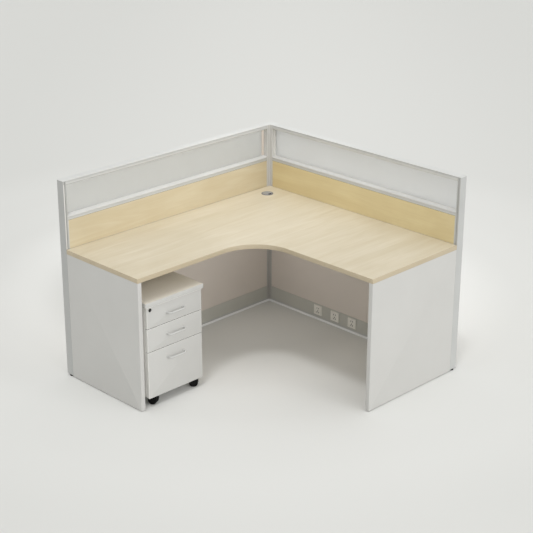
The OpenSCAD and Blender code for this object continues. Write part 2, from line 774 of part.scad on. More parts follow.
// The bar is lifted by the crank pin under its ledge. Raised, each catch
// stands in front of the peg on its drawer.
module lock_bar() color("silver") on_pedestal() {
    ledge_z = lock_z - crank_e + crank_pin_r + lock_play;
    low = peg_zs[2] - peg_r - cut - catch_t;
    translate([bar_x, bar_y, low]) cube([bar_t, bar_w, ledge_z + catch_t - low]);
    translate([bar_x, bar_y, ledge_z]) cube([catch_x - bar_x, bar_w, catch_t]);
    for (z = peg_zs) translate([bar_x, bar_y, z - peg_r - cut - catch_t])
        cube([catch_x - bar_x, bar_w, catch_t]);
}

// Castors. Each is drawn with its swivel pin on the Z axis and its wheels
// trailing towards -Y, and is then turned to its resting direction.
function castor_place(i) = [
    castor_sides[i] * (ped_w / 2 - castor_in_x),
    castor_ends[i] == 0 ? castor_in_y : ped_d - castor_in_y,
    0
];
module at_castor(i) translate(castor_place(i)) rotate([0, 0, castor_turns[i]]) children();
module at_castors() for (i = [0 : 3]) at_castor(i) children();
module across(r, w, fn = 64) translate([-w / 2, -trail, wheel_r]) rotate([0, 90, 0])
    cylinder(r = r, h = w, $fn = fn);
module castor_plates() color("silver") on_pedestal() at_castors() difference() {
    translate([-plate_w / 2, -plate_w / 2, castor_h - plate_t]) cube([plate_w, plate_w, plate_t]);
    translate([0, 0, castor_h - plate_t - cut])
        cylinder(r = pin_r + run, h = plate_t + 2 * cut, $fn = 48);
}
module castor(i) color("black") on_pedestal() at_castor(i) {
    pocket_r = wheel_r + wheel_play;
    hood_w = 2 * (wheel_step + wheel_w);
    boss_top = castor_h - plate_t - fit;
    difference() {
        union() {
            difference() {
                across(pocket_r + hood_t, hood_w);
                translate([-hood_w, -trail - 2 * wheel_r, -wheel_r])
                    cube([2 * hood_w, 4 * wheel_r, 2 * (wheel_r + axle_r)]);
            }
            across(pocket_r - 2 * hood_t, web_t);
            translate([0, 0, wheel_r]) cylinder(r = swivel_r, h = boss_top - wheel_r, $fn = 48);
        }
        for (s = [0, 1]) mirror([s, 0, 0]) translate([web_t / 2 + hood_w / 2, 0, 0])
            across(pocket_r, hood_w);
        translate([-hood_w, -trail - 2 * wheel_r, -wheel_r])
            cube([2 * hood_w, 4 * wheel_r, 2 * wheel_r - 3 * axle_r]);
        across(axle_r + run, hood_w + 2 * cut, 48);
    }
    translate([0, 0, boss_top]) cylinder(r = pin_r, h = castor_h + pin_in - boss_top, $fn = 48);
}
// Half of a wheel's section: radius across, width up
module wheel_section() polygon(concat(
    [[0, 0]],
    [for (a = [-90 : 22.5 : 0]) [wheel_r + tread_r * (cos(a) - 1), tread_r * (sin(a) + 1)]],
    [for (a = [0 : 22.5 : 90])
        [wheel_r + tread_r * (cos(a) - 1), wheel_w + tread_r * (sin(a) - 1)]],
    [[wheel_r / 2, wheel_w], [wheel_r / 2 - hood_t, wheel_w - hood_t], [0, wheel_w - hood_t]]
));
module wheel_pair(i) color("black") on_pedestal() at_castor(i) {
    for (s = [0, 1]) mirror([s, 0, 0]) translate([wheel_step, -trail, wheel_r])
        rotate([0, 90, 0]) rotate_extrude($fn = 96) wheel_section();
    across(axle_r, 2 * wheel_step, 48);
}

corner_post();
left_end_post();
right_end_post();
inner_stiles();
post_caps();
top_rails();
mid_rails();
lower_rails();
back_glass();
return_glass();
glazing_beads();
back_maple_tile();
return_maple_tile();
outer_maple_tiles();
lower_tiles();
back_raceway_cover();
return_raceway_cover();
outer_raceway_covers();
sockets();
worktop();
worktop_edge_band();
grommet_ring();
grommet_cap();
left_gable();
right_gable();
gable_glides();
worktop_brackets();
bracket_screws();
corner_leveller();
left_leveller();
right_leveller();
pedestal_sides();
pedestal_back();
pedestal_base();
pedestal_top();
cabinet_runners();
castor_plates();
lock_barrel();
lock_plug();
lock_bar();
for (i = [0 : 2]) {
    drawer_front(i);
    drawer_box(i);
    drawer_handle(i);
    drawer_runners(i);
}
for (i = [0 : 3]) {
    castor(i);
    wheel_pair(i);
}
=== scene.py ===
"""Finishes and fine detail of the corner workstation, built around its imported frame.

Lengths are in millimetres up to the point where a mesh is made, and each mesh is in metres.
"""
import json
import math

import bpy
import numpy as np
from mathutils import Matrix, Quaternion, Vector


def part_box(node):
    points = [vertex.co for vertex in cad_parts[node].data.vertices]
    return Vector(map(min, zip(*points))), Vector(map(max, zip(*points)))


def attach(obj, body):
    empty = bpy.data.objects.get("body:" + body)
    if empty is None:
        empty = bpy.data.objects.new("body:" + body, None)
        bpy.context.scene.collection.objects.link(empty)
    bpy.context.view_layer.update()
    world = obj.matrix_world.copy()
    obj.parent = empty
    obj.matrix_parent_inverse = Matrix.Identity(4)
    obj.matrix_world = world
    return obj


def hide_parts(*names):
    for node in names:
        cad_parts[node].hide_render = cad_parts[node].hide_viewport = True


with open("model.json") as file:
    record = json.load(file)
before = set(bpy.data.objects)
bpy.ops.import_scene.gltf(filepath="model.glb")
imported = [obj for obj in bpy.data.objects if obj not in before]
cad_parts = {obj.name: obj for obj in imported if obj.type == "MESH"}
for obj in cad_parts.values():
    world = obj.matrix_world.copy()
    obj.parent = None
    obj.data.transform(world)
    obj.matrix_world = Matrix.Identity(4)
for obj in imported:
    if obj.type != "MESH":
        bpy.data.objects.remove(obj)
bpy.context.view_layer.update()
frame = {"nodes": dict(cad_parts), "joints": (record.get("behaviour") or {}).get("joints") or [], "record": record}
MM = 0.001
ROOT = "workstation"
DRAWERS = (1, 2, 3)
CASTORS = ("front_left", "front_right", "rear_left", "rear_right")
# Object axes that take the (u, v, w) of a shape drawn across each axis
PLANES = {"x": (1, 2, 0), "y": (2, 0, 1), "z": (0, 1, 2)}
# Points along each rounded edge of a plate
ROUND_STEPS = 4


def corners(node):
    """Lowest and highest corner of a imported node, in millimetres."""
    low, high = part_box(node)
    return np.array(low) / MM, np.array(high) / MM


def heights(node):
    """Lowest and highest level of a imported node, in millimetres."""
    low, high = corners(node)
    return low[2], high[2]


# Places taken from the frame, and sizes that several pieces share

LEFT, RIGHT = corners("left_end_post")[0][0], corners("corner_post")[1][0]
FRONT, BACK = corners("right_end_post")[0][1], corners("corner_post")[1][1]
INNER_X, INNER_Y = corners("corner_post")[0][:2]
TOP_LOW, TOP_HIGH = corners("worktop_edge_band")
WORK_X = corners("right_gable")[0][0]
WORK_Y = corners("left_gable")[0][1]
SILL_Z, BEAD_TOP = heights("glazing_beads")
RUN_THICK = BACK - INNER_Y
STILE = 20.0
BOARD = 25.0
# Each partition run: the axis across it, its inner and outer face, and its two ends
RUNS = {
    "back": ("y", INNER_Y, BACK, LEFT, INNER_X),
    "return": ("x", INNER_X, RIGHT, FRONT, INNER_Y),
}


# Shapes

def across(points, axis):
    """Turns (u, v, w) points so that w runs along the named axis."""
    out = np.empty(points.shape)
    out[..., list(PLANES[axis])] = points
    return out


def unit(vectors):
    """Each vector divided by its length."""
    return vectors / np.linalg.norm(vectors, axis=-1, keepdims=True)


def fillet(points, radii, steps=6):
    """Closed outline whose corners are arcs of the given radii.

    Each arc starts and ends at radius / tan(half angle) from its corner, and its points are the
    spherical blend of the two end radii about a centre at radius / sin(half angle).
    """
    points = np.asarray(points, float)
    radii = np.broadcast_to(np.asarray(radii, float), len(points))[:, None]
    back = unit(np.roll(points, 1, 0) - points)
    ahead = unit(np.roll(points, -1, 0) - points)
    half = np.arccos(np.clip((back * ahead).sum(1, keepdims=True), -1, 1)) / 2
    centre = points + unit(back + ahead) * radii / np.sin(half)
    start = points + back * radii / np.tan(half) - centre
    end = points + ahead * radii / np.tan(half) - centre
    turn = (math.pi - 2 * half)[:, None]
    share = np.linspace(0, 1, steps)[None, :, None]
    blended = np.sin((1 - share) * turn) * start[:, None] + np.sin(share * turn) * end[:, None]
    return (centre[:, None] + blended / np.sin(turn)).reshape(-1, 2)


def rectangle(low, high, radius, steps=5):
    """Outline of a rectangle with round corners."""
    (left, bottom), (right, top) = low, high
    return fillet([(left, bottom), (right, bottom), (right, top), (left, top)], radius, steps)


def circle(centre, radius, count=48):
    """Outline of a circle."""
    angle = np.linspace(0, 2 * math.pi, count, endpoint=False)
    return np.column_stack([centre[0] + radius * np.cos(angle), centre[1] + radius * np.sin(angle)])


def inset(outline, distance):
    """The outline moved inwards: each point follows its corner's bisector by distance / cos."""
    before = unit(outline - np.roll(outline, 1, 0)) @ np.array([[0, 1], [-1, 0]])
    after = unit(np.roll(outline, -1, 0) - outline) @ np.array([[0, 1], [-1, 0]])
    step = (before + after) / (1 + (before * after).sum(1, keepdims=True))
    return outline + distance * step


def stack(outline, profile):
    """Copies of an outline, one per profile row of (inset, level)."""
    rings = [np.column_stack([inset(outline, row[0]), np.full(len(outline), row[1])])
             for row in profile]
    return np.stack(rings)


def skin(rings, closed=False):
    """Quads over a stack of rings. An open stack is capped at both ends."""
    count, size = rings.shape[:2]
    row = np.arange(count if closed else count - 1)[:, None]
    column = np.arange(size)[None, :]
    above = (row + 1) % count
    beside = (column + 1) % size
    quads = np.stack([row * size + column, row * size + beside,
                      above * size + beside, above * size + column], -1)
    faces = quads.reshape(-1, 4).tolist()
    if not closed:
        faces += [list(range(size))[::-1], list(range((count - 1) * size, count * size))]
    return rings.reshape(-1, 3), faces


def round_rise(low, radius):
    """Profile rows of a convex round from the lower face to the side, by sine and cosine."""
    angle = np.linspace(0, math.pi / 2, ROUND_STEPS)
    return np.column_stack([radius * (1 - np.sin(angle)), low + radius * (1 - np.cos(angle))])


def slab_profile(low, high, radius):
    """Profile of a plate whose two faces meet the side in rounds."""
    rise = round_rise(low, radius)
    fall = round_rise(0, radius)[::-1] * (1, -1) + (0, high)
    return np.vstack([rise, fall])


def slab(outline, low, high, radius, axis="z"):
    """A plate of any outline with rounded edges, across the named axis."""
    return skin(across(stack(outline, slab_profile(low, high, radius)), axis))


def band(outline, low, high, width, radius, axis="z"):
    """A closed strip round an outline, rounded outside and plain inside."""
    inner = np.array([[width, high], [width, low]])
    profile = np.vstack([slab_profile(low, high, radius), inner])
    return skin(across(stack(outline, profile), axis), closed=True)


def lathe(profile, centre=(0, 0, 0), axis="z", count=48, closed=False):
    """A turned shape: each profile row of (radius, level) becomes a circle round the axis."""
    ring = circle((0, 0), 1, count)
    profile = np.asarray(profile, float)
    rings = np.empty((len(profile), count, 3))
    rings[..., :2] = profile[:, None, :1] * ring[None]
    rings[..., 2] = profile[:, None, 1]
    points, faces = skin(across(rings, axis), closed)
    return points + np.asarray(centre, float), faces


def carry(section, path, side, closed=False):
    """A section carried along a path: at each point it stands on the path's tangent.

    The first section axis lies along side x tangent, and the second along side.
    """
    path = np.asarray(path, float)
    if closed:
        tangent = unit(np.roll(path, -1, 0) - np.roll(path, 1, 0))
    else:
        tangent = unit(np.gradient(path, axis=0))
    side = np.asarray(side, float)
    first = np.cross(side, tangent)
    rings = path[:, None] + section[None, :, :1] * first[:, None] + section[None, :, 1:] * side
    return skin(rings, closed)


def moved(part, offset):
    """A part shifted by an offset."""
    return part[0] + np.asarray(offset, float), part[1]


def turned(part, angle, centre):
    """A part turned about a vertical line through a centre, by an angle in degrees."""
    cos, sin = math.cos(math.radians(angle)), math.sin(math.radians(angle))
    points = part[0] - centre
    spin = np.array([[cos, sin, 0], [-sin, cos, 0], [0, 0, 1]])
    return points @ spin + centre, part[1]


def rolled(part, angle):
    """A part turned about the x axis, by an angle in degrees."""
    cos, sin = math.cos(math.radians(angle)), math.sin(math.radians(angle))
    points = part[0].copy()
    points[:, 1] = cos * part[0][:, 1] - sin * part[0][:, 2]
    points[:, 2] = sin * part[0][:, 1] + cos * part[0][:, 2]
    return points, part[1]


def faced(part, sign):
    """A part as it is for a sign of 1, and given half a turn about the z axis for -1."""
    return part[0] * (sign, sign, 1), part[1]


def make(name, parts, slot, body=ROOT, instead_of=(), crease=40, finish=None):
    """One object from the given parts, riding on a body.

    Its finish is its material slot's own, or the one named.
    """
    starts = np.cumsum([0] + [len(points) for points, _ in parts])
    points = np.concatenate([points for points, _ in parts]) * MM
    faces = [[corner + int(start) for corner in face]
             for (_, part_faces), start in zip(parts, starts) for face in part_faces]
    mesh = bpy.data.meshes.new(name)
    mesh.from_pydata(points, [], faces)
    smooth = np.array([len(face) == 4 for face in faces])
    mesh.polygons.foreach_set("use_smooth", smooth)
    mesh.set_sharp_from_angle(angle=math.radians(crease))
    mesh.materials.append(FINISHES[finish or slot])
    piece = bpy.data.objects.new(name, mesh)
    bpy.context.scene.collection.objects.link(piece)
    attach(piece, body)
    if instead_of:
        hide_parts(*instead_of)
    return piece


# Finishes

def feed(tree, socket, value):
    """Links a value's socket to a shader input, or sets the input to the value."""
    if isinstance(value, bpy.types.NodeSocket):
        tree.links.new(value, socket)
    else:
        socket.default_value = value


def put(tree, kind, inputs=None, **settings):
    """A shader node with its settings and inputs."""
    node = tree.nodes.new(kind)
    for key, value in settings.items():
        setattr(node, key, value)
    for key, value in (inputs or {}).items():
        feed(tree, node.inputs[key], value)
    return node


def start_finish(name):
    """A new material, its node tree and its main shader."""
    material = bpy.data.materials.new(name)
    material.use_nodes = True
    tree = material.node_tree
    return material, tree, tree.nodes["Principled BSDF"]


def place(tree, stretch=(1, 1, 1)):
    """Object coordinates, scaled along each axis."""
    coordinates = put(tree, "ShaderNodeTexCoord").outputs["Object"]
    mapping = put(tree, "ShaderNodeMapping", {"Vector": coordinates, "Scale": stretch})
    return mapping.outputs["Vector"]


def along_grain(axis, share):
    """Scales of the three axes, smaller along the grain."""
    return tuple(share if letter == axis else 1.0 for letter in "xyz")


def speckle(tree, vector, scale, detail=2.0, roughness=0.5, distortion=0.0):
    """Noise between 0 and 1."""
    inputs = {"Vector": vector, "Scale": scale, "Detail": detail,
              "Roughness": roughness, "Distortion": distortion}
    return put(tree, "ShaderNodeTexNoise", inputs).outputs["Fac"]


def spread(tree, value, low, high, centre=0.5, width=0.25):
    """The value taken from around its centre to the range from low to high."""
    inputs = {"Value": value, "From Min": centre - width, "From Max": centre + width,
              "To Min": low, "To Max": high}
    return put(tree, "ShaderNodeMapRange", inputs).outputs["Result"]


def blend(tree, share, first, second, mode="MIX"):
    """Mix of two colours, each a socket or its red, green and blue."""
    node = put(tree, "ShaderNodeMix", {"Factor": share}, data_type="RGBA", blend_type=mode)
    # The colour inputs of this node share their names with others, so they go by number
    for number, colour in ((6, first), (7, second)):
        flat = not isinstance(colour, bpy.types.NodeSocket)
        feed(tree, node.inputs[number], (*colour, 1) if flat else colour)
    return node.outputs[2]


def dimmed(colour, share):
    """A share of a colour in every channel."""
    return tuple(share * channel for channel in colour)


def mottled(tree, noise, colour, share):
    """A colour that goes by a noise to a dimmer share of itself."""
    return blend(tree, spread(tree, noise, 0.0, 1.0), colour, dimmed(colour, share))


def emboss(tree, shader, height, strength, depth):
    """Surface relief from a height, its depth in metres."""
    inputs = {"Height": height, "Strength": strength, "Distance": depth}
    relief = put(tree, "ShaderNodeBump", inputs)
    tree.links.new(relief.outputs["Normal"], shader.inputs["Normal"])


def set_all(tree, shader, **values):
    """Shader inputs by name, with spaces written as underscores."""
    for key, value in values.items():
        feed(tree, shader.inputs[key.replace("_", " ")], value)


# Colours of the pores in maple and of the dots etched in glass
PORE, ETCHING = (0.50, 0.36, 0.19), (0.95, 0.96, 0.95)


def maple(name, pale, honey, along, gloss=0.42):
    """Maple laminate: long soft figure, broad clouds and short fine pores along the grain."""
    material, tree, shader = start_finish(name)
    figure = speckle(tree, place(tree, along_grain(along, 0.11)), scale=14.0, detail=5.0,
                     roughness=0.55, distortion=1.3)
    cloud = speckle(tree, place(tree), scale=2.6, detail=3.0, distortion=0.4)
    pores = speckle(tree, place(tree, along_grain(along, 0.03)), scale=190.0, detail=3.0,
                    roughness=0.6)
    honeyed = spread(tree, figure, 0.0, 1.0, width=0.22)
    clouded = spread(tree, cloud, 0.0, 0.55, centre=0.56, width=0.16)
    pored = spread(tree, pores, 0.0, 0.16, centre=0.6, width=0.15)
    base = blend(tree, honeyed, pale, honey)
    base = blend(tree, clouded, base, dimmed(honey, 0.93))
    base = blend(tree, pored, base, PORE)
    set_all(tree, shader, Base_Color=base, Specular_IOR_Level=0.42,
            Roughness=spread(tree, figure, gloss - 0.05, gloss + 0.07))
    emboss(tree, shader, pores, strength=0.12, depth=0.0002)
    return material


def melamine(name, colour, gloss=0.45):
    """Melamine board: an even colour with a faint mottle and a pearl texture."""
    material, tree, shader = start_finish(name)
    mottle = speckle(tree, place(tree), scale=5.0, detail=3.0)
    pearl = speckle(tree, place(tree), scale=620.0, roughness=0.6)
    set_all(tree, shader, Base_Color=mottled(tree, mottle, colour, 0.965), Specular_IOR_Level=0.4,
            Roughness=spread(tree, pearl, gloss - 0.06, gloss + 0.08))
    emboss(tree, shader, pearl, strength=0.14, depth=0.00015)
    return material


def anodised(name, colour, metal=0.55, gloss=0.42):
    """Satin anodised extrusion: fine upright die lines, too faint to show at a distance."""
    material, tree, shader = start_finish(name)
    lines = speckle(tree, place(tree, along_grain("z", 0.02)), scale=1400.0)
    cast = speckle(tree, place(tree), scale=7.0)
    set_all(tree, shader, Base_Color=mottled(tree, cast, colour, 0.94), Metallic=metal,
            Roughness=spread(tree, lines, gloss - 0.06, gloss + 0.08))
    emboss(tree, shader, lines, strength=0.06, depth=0.0001)
    return material


def powder_coat(name, colour, gloss=0.5):
    """Powder coat: an orange-peel skin on sheet steel."""
    material, tree, shader = start_finish(name)
    peel = speckle(tree, place(tree), scale=900.0)
    dust = speckle(tree, place(tree), scale=9.0, detail=4.0)
    set_all(tree, shader, Base_Color=mottled(tree, dust, colour, 0.93), Specular_IOR_Level=0.45,
            Roughness=spread(tree, peel, gloss - 0.07, gloss + 0.08))
    emboss(tree, shader, peel, strength=0.22, depth=0.0002)
    return material


def moulded(name, colour, gloss=0.45, shine=0.5):
    """Moulded plastic: a spark-eroded grain with slightly uneven gloss."""
    material, tree, shader = start_finish(name)
    pits = speckle(tree, place(tree), scale=1500.0, detail=3.0, roughness=0.65)
    flow = speckle(tree, place(tree), scale=30.0, detail=3.0)
    set_all(tree, shader, Base_Color=mottled(tree, flow, colour, 0.88), Specular_IOR_Level=shine,
            Roughness=spread(tree, pits, gloss - 0.06, gloss + 0.1))
    emboss(tree, shader, pits, strength=0.18, depth=0.0001)
    return material


def plated(name, colour, gloss=0.3):
    """Plated steel: full metal with cloudy gloss and faint rolling lines."""
    material, tree, shader = start_finish(name)
    cloud = speckle(tree, place(tree), scale=60.0, detail=3.0)
    lines = speckle(tree, place(tree, (0.05, 0.05, 1.0)), scale=1800.0)
    set_all(tree, shader, Base_Color=mottled(tree, cloud, colour, 0.82), Metallic=1.0,
            Roughness=spread(tree, cloud, gloss - 0.08, gloss + 0.1))
    emboss(tree, shader, lines, strength=0.08, depth=0.0001)
    return material


def etched_glass(name, colour):
    """Frosted glass: it scatters what is behind it, with a fine dotted etching."""
    material, tree, shader = start_finish(name)
    frost = speckle(tree, place(tree), scale=1300.0, detail=3.0, roughness=0.7)
    cloud = speckle(tree, place(tree), scale=3.0)
    dots = put(tree, "ShaderNodeTexVoronoi",
               {"Vector": place(tree), "Scale": 240.0, "Randomness": 0.0}).outputs["Distance"]
    tinted = mottled(tree, cloud, colour, 0.97)
    etched = spread(tree, dots, 0.10, 0.0, centre=0.35, width=0.15)
    base = blend(tree, etched, tinted, ETCHING)
    set_all(tree, shader, Base_Color=base, Transmission_Weight=0.7, IOR=1.45,
            Roughness=spread(tree, frost, 0.42, 0.56))
    emboss(tree, shader, frost, strength=0.1, depth=0.0001)
    return material


def build_finishes():
    """One finish per material slot of the record, and those of single pieces."""
    return {
        "frame": anodised("anodised_frame", (0.52, 0.525, 0.515), 0.12, 0.5),
        # Darker copy of the frame finish for the left end post: painted shade for its outer side
        "frame_left_shaded": anodised("anodised_left_post_shaded", (0.47, 0.475, 0.465), 0.12, 0.5),
        # Paler copy of the frame finish for the inner stiles: painted light against the corner's shade
        "stile": anodised("anodised_stile_painted_light", (0.70, 0.695, 0.68), 0.1, 0.5),
        # Rail finishes: the return run's paler copy is painted light for its shadier side
        "rail": anodised("anodised_rail", (0.585, 0.585, 0.57), 0.08, 0.5),
        "rail_return": anodised("anodised_rail_return_painted_light", (0.635, 0.635, 0.62), 0.08, 0.5),
        "top_rail": anodised("anodised_cover", (0.67, 0.675, 0.66), 0.05, 0.5),
        "glass": etched_glass("frosted_glass", (0.80, 0.805, 0.79)),
        # Paler copy of the frosted glass for the return run: painted light for its shadier side
        "glass_return": etched_glass("frosted_glass_return_painted_light", (0.905, 0.915, 0.92)),
        "bead": anodised("pale_bead", (0.68, 0.675, 0.655), 0.05, 0.5),
        # Head and upright bead finishes, darker on the back run and paler on the return than the sill bead:
        # painted shade and light
        "clear_bead": anodised("clear_bead", (0.58, 0.58, 0.565), 0.05, 0.5),
        "clear_bead_return": anodised("clear_bead_return", (0.74, 0.74, 0.72), 0.05, 0.5),
        "trim": anodised("tile_trim", (0.62, 0.61, 0.58), 0.05, 0.5),
        # Dark finish for thin strips at the tile tops and drawer gaps: painted shadow lines
        "painted_shadow_line": moulded("tile_top_shadow", (0.12, 0.12, 0.115), 0.6, shine=0.3),
        # Dark strips on the inner stiles below the worktop: painted shade
        "stile_painted_shade": powder_coat("stile_painted_shade", (0.50, 0.49, 0.465), 0.6),
        # Beige strip on the back pane at the corner: painted warm bounce light
        "painted_bounce": powder_coat("corner_bounce", (0.80, 0.72, 0.655), 0.6),
        # Near-white finish of the foot strips: painted highlight
        "foot_highlight_strip": powder_coat("foot_highlight_strip", (0.88, 0.89, 0.90), 0.5),
        # Tile finishes: the return run's is paler, painted light for its shadier side, and more yellow
        "maple_tile": maple("maple_tile", (0.668, 0.60, 0.443), (0.593, 0.50, 0.328), "x"),
        "maple_tile_return": maple("maple_tile_return", (0.79, 0.69, 0.42),
                                   (0.70, 0.575, 0.32), "y"),
        "lower_tile": melamine("lower_tile_board", (0.69, 0.63, 0.575), 0.55),
        "raceway": powder_coat("raceway_grey", (0.54, 0.535, 0.49)),
        "socket": moulded("outlet_ivory", (0.86, 0.84, 0.78), 0.4),
        "worktop": maple("maple_worktop", (0.725, 0.66, 0.528), (0.645, 0.57, 0.42), "x"),
        "edge_band": maple("maple_edge", (0.555, 0.475, 0.345), (0.495, 0.42, 0.295), "x", 0.38),
        "grommet": moulded("grommet_silver", (0.20, 0.20, 0.21), 0.35),
        "grommet_cap": moulded("grommet_cap_silver", (0.34, 0.345, 0.35), 0.35),
        "white_board": melamine("white_board", (0.565, 0.56, 0.54)),
        # Paler copy of the white board for the gables' inner faces: painted light
        "inner_face_painted_light": melamine("inner_face_painted_light", (0.78, 0.77, 0.74)),
        # Paler, warmer copy of the white board for the pedestal's top: painted light, warm bounce in the worktop's
        # shade
        "pedestal_top": melamine("pedestal_top_board", (0.755, 0.71, 0.63)),
        # Paler copy of the white board for the pedestal's sides and drawer-front tapes: painted light in the
        # shaded gap
        "carcass": melamine("carcass_board", (0.88, 0.87, 0.84)),
        "drawer_front": melamine("drawer_front_board", (0.555, 0.55, 0.53)),
        "drawer_box": melamine("drawer_box_board", (0.66, 0.65, 0.62), 0.5),
        "handle": powder_coat("handle_pale", (0.60, 0.60, 0.585), 0.35),
        "handle_shade": powder_coat("handle_painted_shade", (0.40, 0.40, 0.385), 0.5),
        "runner": plated("runner_zinc", (0.52, 0.53, 0.54), 0.35),
        "bracket": powder_coat("bracket_grey", (0.32, 0.33, 0.34), 0.4),
        "screw": plated("screw_zinc", (0.50, 0.50, 0.48), 0.32),
        "foot": moulded("foot_black", (0.006, 0.006, 0.006), 0.6, shine=0.12),
        "lock": plated("lock_nickel", (0.78, 0.77, 0.74), 0.22),
        "lock_plug": moulded("lock_plug_dark", (0.012, 0.012, 0.012), 0.5, shine=0.15),
        "castor": moulded("castor_black", (0.006, 0.006, 0.006), 0.5, shine=0.12),
        "wheel": moulded("wheel_black", (0.008, 0.008, 0.008), 0.6, shine=0.12),
    }


FINISHES = build_finishes()
# Nodes whose finish differs from their slot's: each a lighter or darker copy, painted light and shade (the return
# tile's also more yellow)
NODE_FINISHES = {
    "return_maple_tile": "maple_tile_return",
    "return_glass": "glass_return",
    "left_end_post": "frame_left_shaded",
    "inner_stiles": "stile",
    "pedestal_sides": "carcass",
}


def dress_nodes():
    """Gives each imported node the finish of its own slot, or one of its own."""
    finishes = {row["node"]: row["material_slot"] for row in frame["record"]["subparts"]}
    finishes.update(NODE_FINISHES)
    for name, node in frame["nodes"].items():
        node.data.materials.clear()
        node.data.materials.append(FINISHES[finishes[name]])


# Worktop, gables and boards

# Radii of the worktop's inner corner, of its two free front corners and of those at the walls
CURVE_R, TIP_R, WALL_R = 240.0, 3.0, 1.0
BAND = 2.0
# Paler sheets on the gables' inner faces, painted light: their thickness and inset
LIT_SHEET_THICK, LIT_SHEET_IN = 0.6, 2.0
# Painted gap shadow on a drawer front: its height, and its distance from the front's sides and back, and from its
# face
GAP_SHADOW_THICK, GAP_SHADOW_IN, GAP_SHADOW_FRONT = 0.5, 1.5, 0.9


def worktop_outline():
    """Corners of the worktop, counter-clockwise, with the curve as the inner corner's fillet."""
    points = [(LEFT, WORK_Y), (WORK_X, WORK_Y), (WORK_X, FRONT), (TOP_HIGH[0], FRONT),
              (TOP_HIGH[0], TOP_HIGH[1]), (LEFT, TOP_HIGH[1])]
    return fillet(points, [TIP_R, CURVE_R, TIP_R, WALL_R, WALL_R, WALL_R], 25)


def edge_banding():
    """Maple edge round the worktop, its two arrises eased."""
    ring = band(worktop_outline(), TOP_LOW[2], TOP_HIGH[2], BAND, 1.2)
    make("worktop_edge", [ring], "edge_band", instead_of=("worktop_edge_band",))


def banded_board(name, node, axis, slot, body=ROOT, ease=0.8, tape=1.2, corner=1.3,
                 core_finish=None, tape_finish=None):
    """A board in place of a node: a core, and an eased tape round its four edges."""
    low, high = corners(node)
    u, v, w = PLANES[axis]
    outline = rectangle(low[[u, v]], high[[u, v]], corner)
    inside = rectangle(low[[u, v]] + tape, high[[u, v]] - tape, 0.1)
    core = slab(inside, low[w], high[w], 0.05, axis)
    edge = band(outline, low[w], high[w], tape, ease, axis)
    make(name, [core], slot, body, (node,), finish=core_finish)
    make(name + "_tape", [edge], slot, body, finish=tape_finish)


def gable_lit_sheets():
    """A thin paler sheet on the inner face of each gable, a little inside its edges: painted light on the shaded
    face.
    """
    parts = []
    for gable, axis in (("left_gable", "x"), ("right_gable", "y")):
        low, high = corners(gable)
        u, v, w = PLANES[axis]
        outline = rectangle(low[[u, v]] + LIT_SHEET_IN, high[[u, v]] - LIT_SHEET_IN, 1.0)
        parts.append(slab(outline, high[w], high[w] + LIT_SHEET_THICK, 0.2, axis))
    make("gable_lit_sheets", parts, "white_board", finish="inner_face_painted_light")


def drawer_gap_shadow(number):
    """A dark strip on the upper edge of a drawer's front: painted shadow of the gap above it."""
    low, high = corners(f"drawer_{number}_front")
    outline = rectangle(low[:2] + (GAP_SHADOW_IN, GAP_SHADOW_FRONT), high[:2] - GAP_SHADOW_IN, 0.5)
    painted_shadow_line = slab(outline, high[2], high[2] + GAP_SHADOW_THICK, 0.2)
    make(f"drawer_{number}_front_gap_shadow", [painted_shadow_line], "foot", f"drawer_{number}", finish="painted_shadow_line")


def boards():
    """Gables with paler sheets on their inner faces, the pedestal's top, and drawer fronts, each below the first
    with a painted gap shadow.
    """
    banded_board("left_gable_board", "left_gable", "x", "white_board")
    banded_board("right_gable_board", "right_gable", "y", "white_board")
    gable_lit_sheets()
    # The pedestal top's core takes a paler, warmer finish: painted light
    banded_board("pedestal_top_board", "pedestal_top", "z", "white_board", "pedestal", ease=1.2,
                 tape=2.0, corner=3.0, core_finish="pedestal_top")
    for number in DRAWERS:
        # Drawer fronts with tapes in the paler board finish: painted light
        banded_board(f"drawer_{number}_board", f"drawer_{number}_front", "y", "drawer_front",
                     f"drawer_{number}", ease=1.0, corner=1.5, tape_finish="carcass")
        if number > 1:
            drawer_gap_shadow(number)


# Partition trim

# Behind a face: the glass, and the front of the beads on it
GLASS_IN, BEAD_IN = 22.0, 13.0
# Width of a bead, and height of the sloped sill at its front, at the beads' front and at the glass
BEAD = 9.0
SILL_FRONT, SILL_AT_BEAD, SILL_AT_GLASS = 2.0, 8.3, 13.0
# Below the top of the top rail, its cover's seam and its groove, and below the top of the glazing
# rail, the groove's two edges. Then how deep each groove is
SEAM, TOP_GROOVE = 2.6, 9.0
GLAZING_GROOVE = (9.0, 4.0)
TOP_GROOVE_DEEP, GLAZING_GROOVE_DEEP = 3.5, 2.5
# Upright trim beside a maple tile: its width, its clearance from the stile, and how far its top and
# the painted shadow line's two edges are above the tile's top
TRIM, TRIM_GAP, TRIM_TOP = 4.5, 0.3, -1.2
TILE_SHADOW_LINE = (-1.0, 0.2)
# Left post's pale strip, a painted highlight: its two edges from the post's outer one, and its foot above the
# worktop
POST_HIGHLIGHT, POST_HIGHLIGHT_FOOT = (0.5, 7.5), 2.0
# Front and back of the strips that stand proud of a face, as distances behind it
TRIM_PROUD, SHADE_STRIP_PROUD = (-0.8, -0.05), (-0.9, -0.05)
# Foot highlight strip: its start beyond the gable, and how far the return's stays short of the corner
FOOT_GAP, FOOT_SHORT = 0.5, 7.3
# Gasket: its cord's radius, how far its middle is outside the pane, and its place from the pane's
# lower and upper corners
CORD_R, CORD_OUT = 1.1, 0.2
CORD_LOW, CORD_HIGH = (8.2, 8.2, 12.2), (8.2, 8.2, 9.0)
CAP_R = 1.5


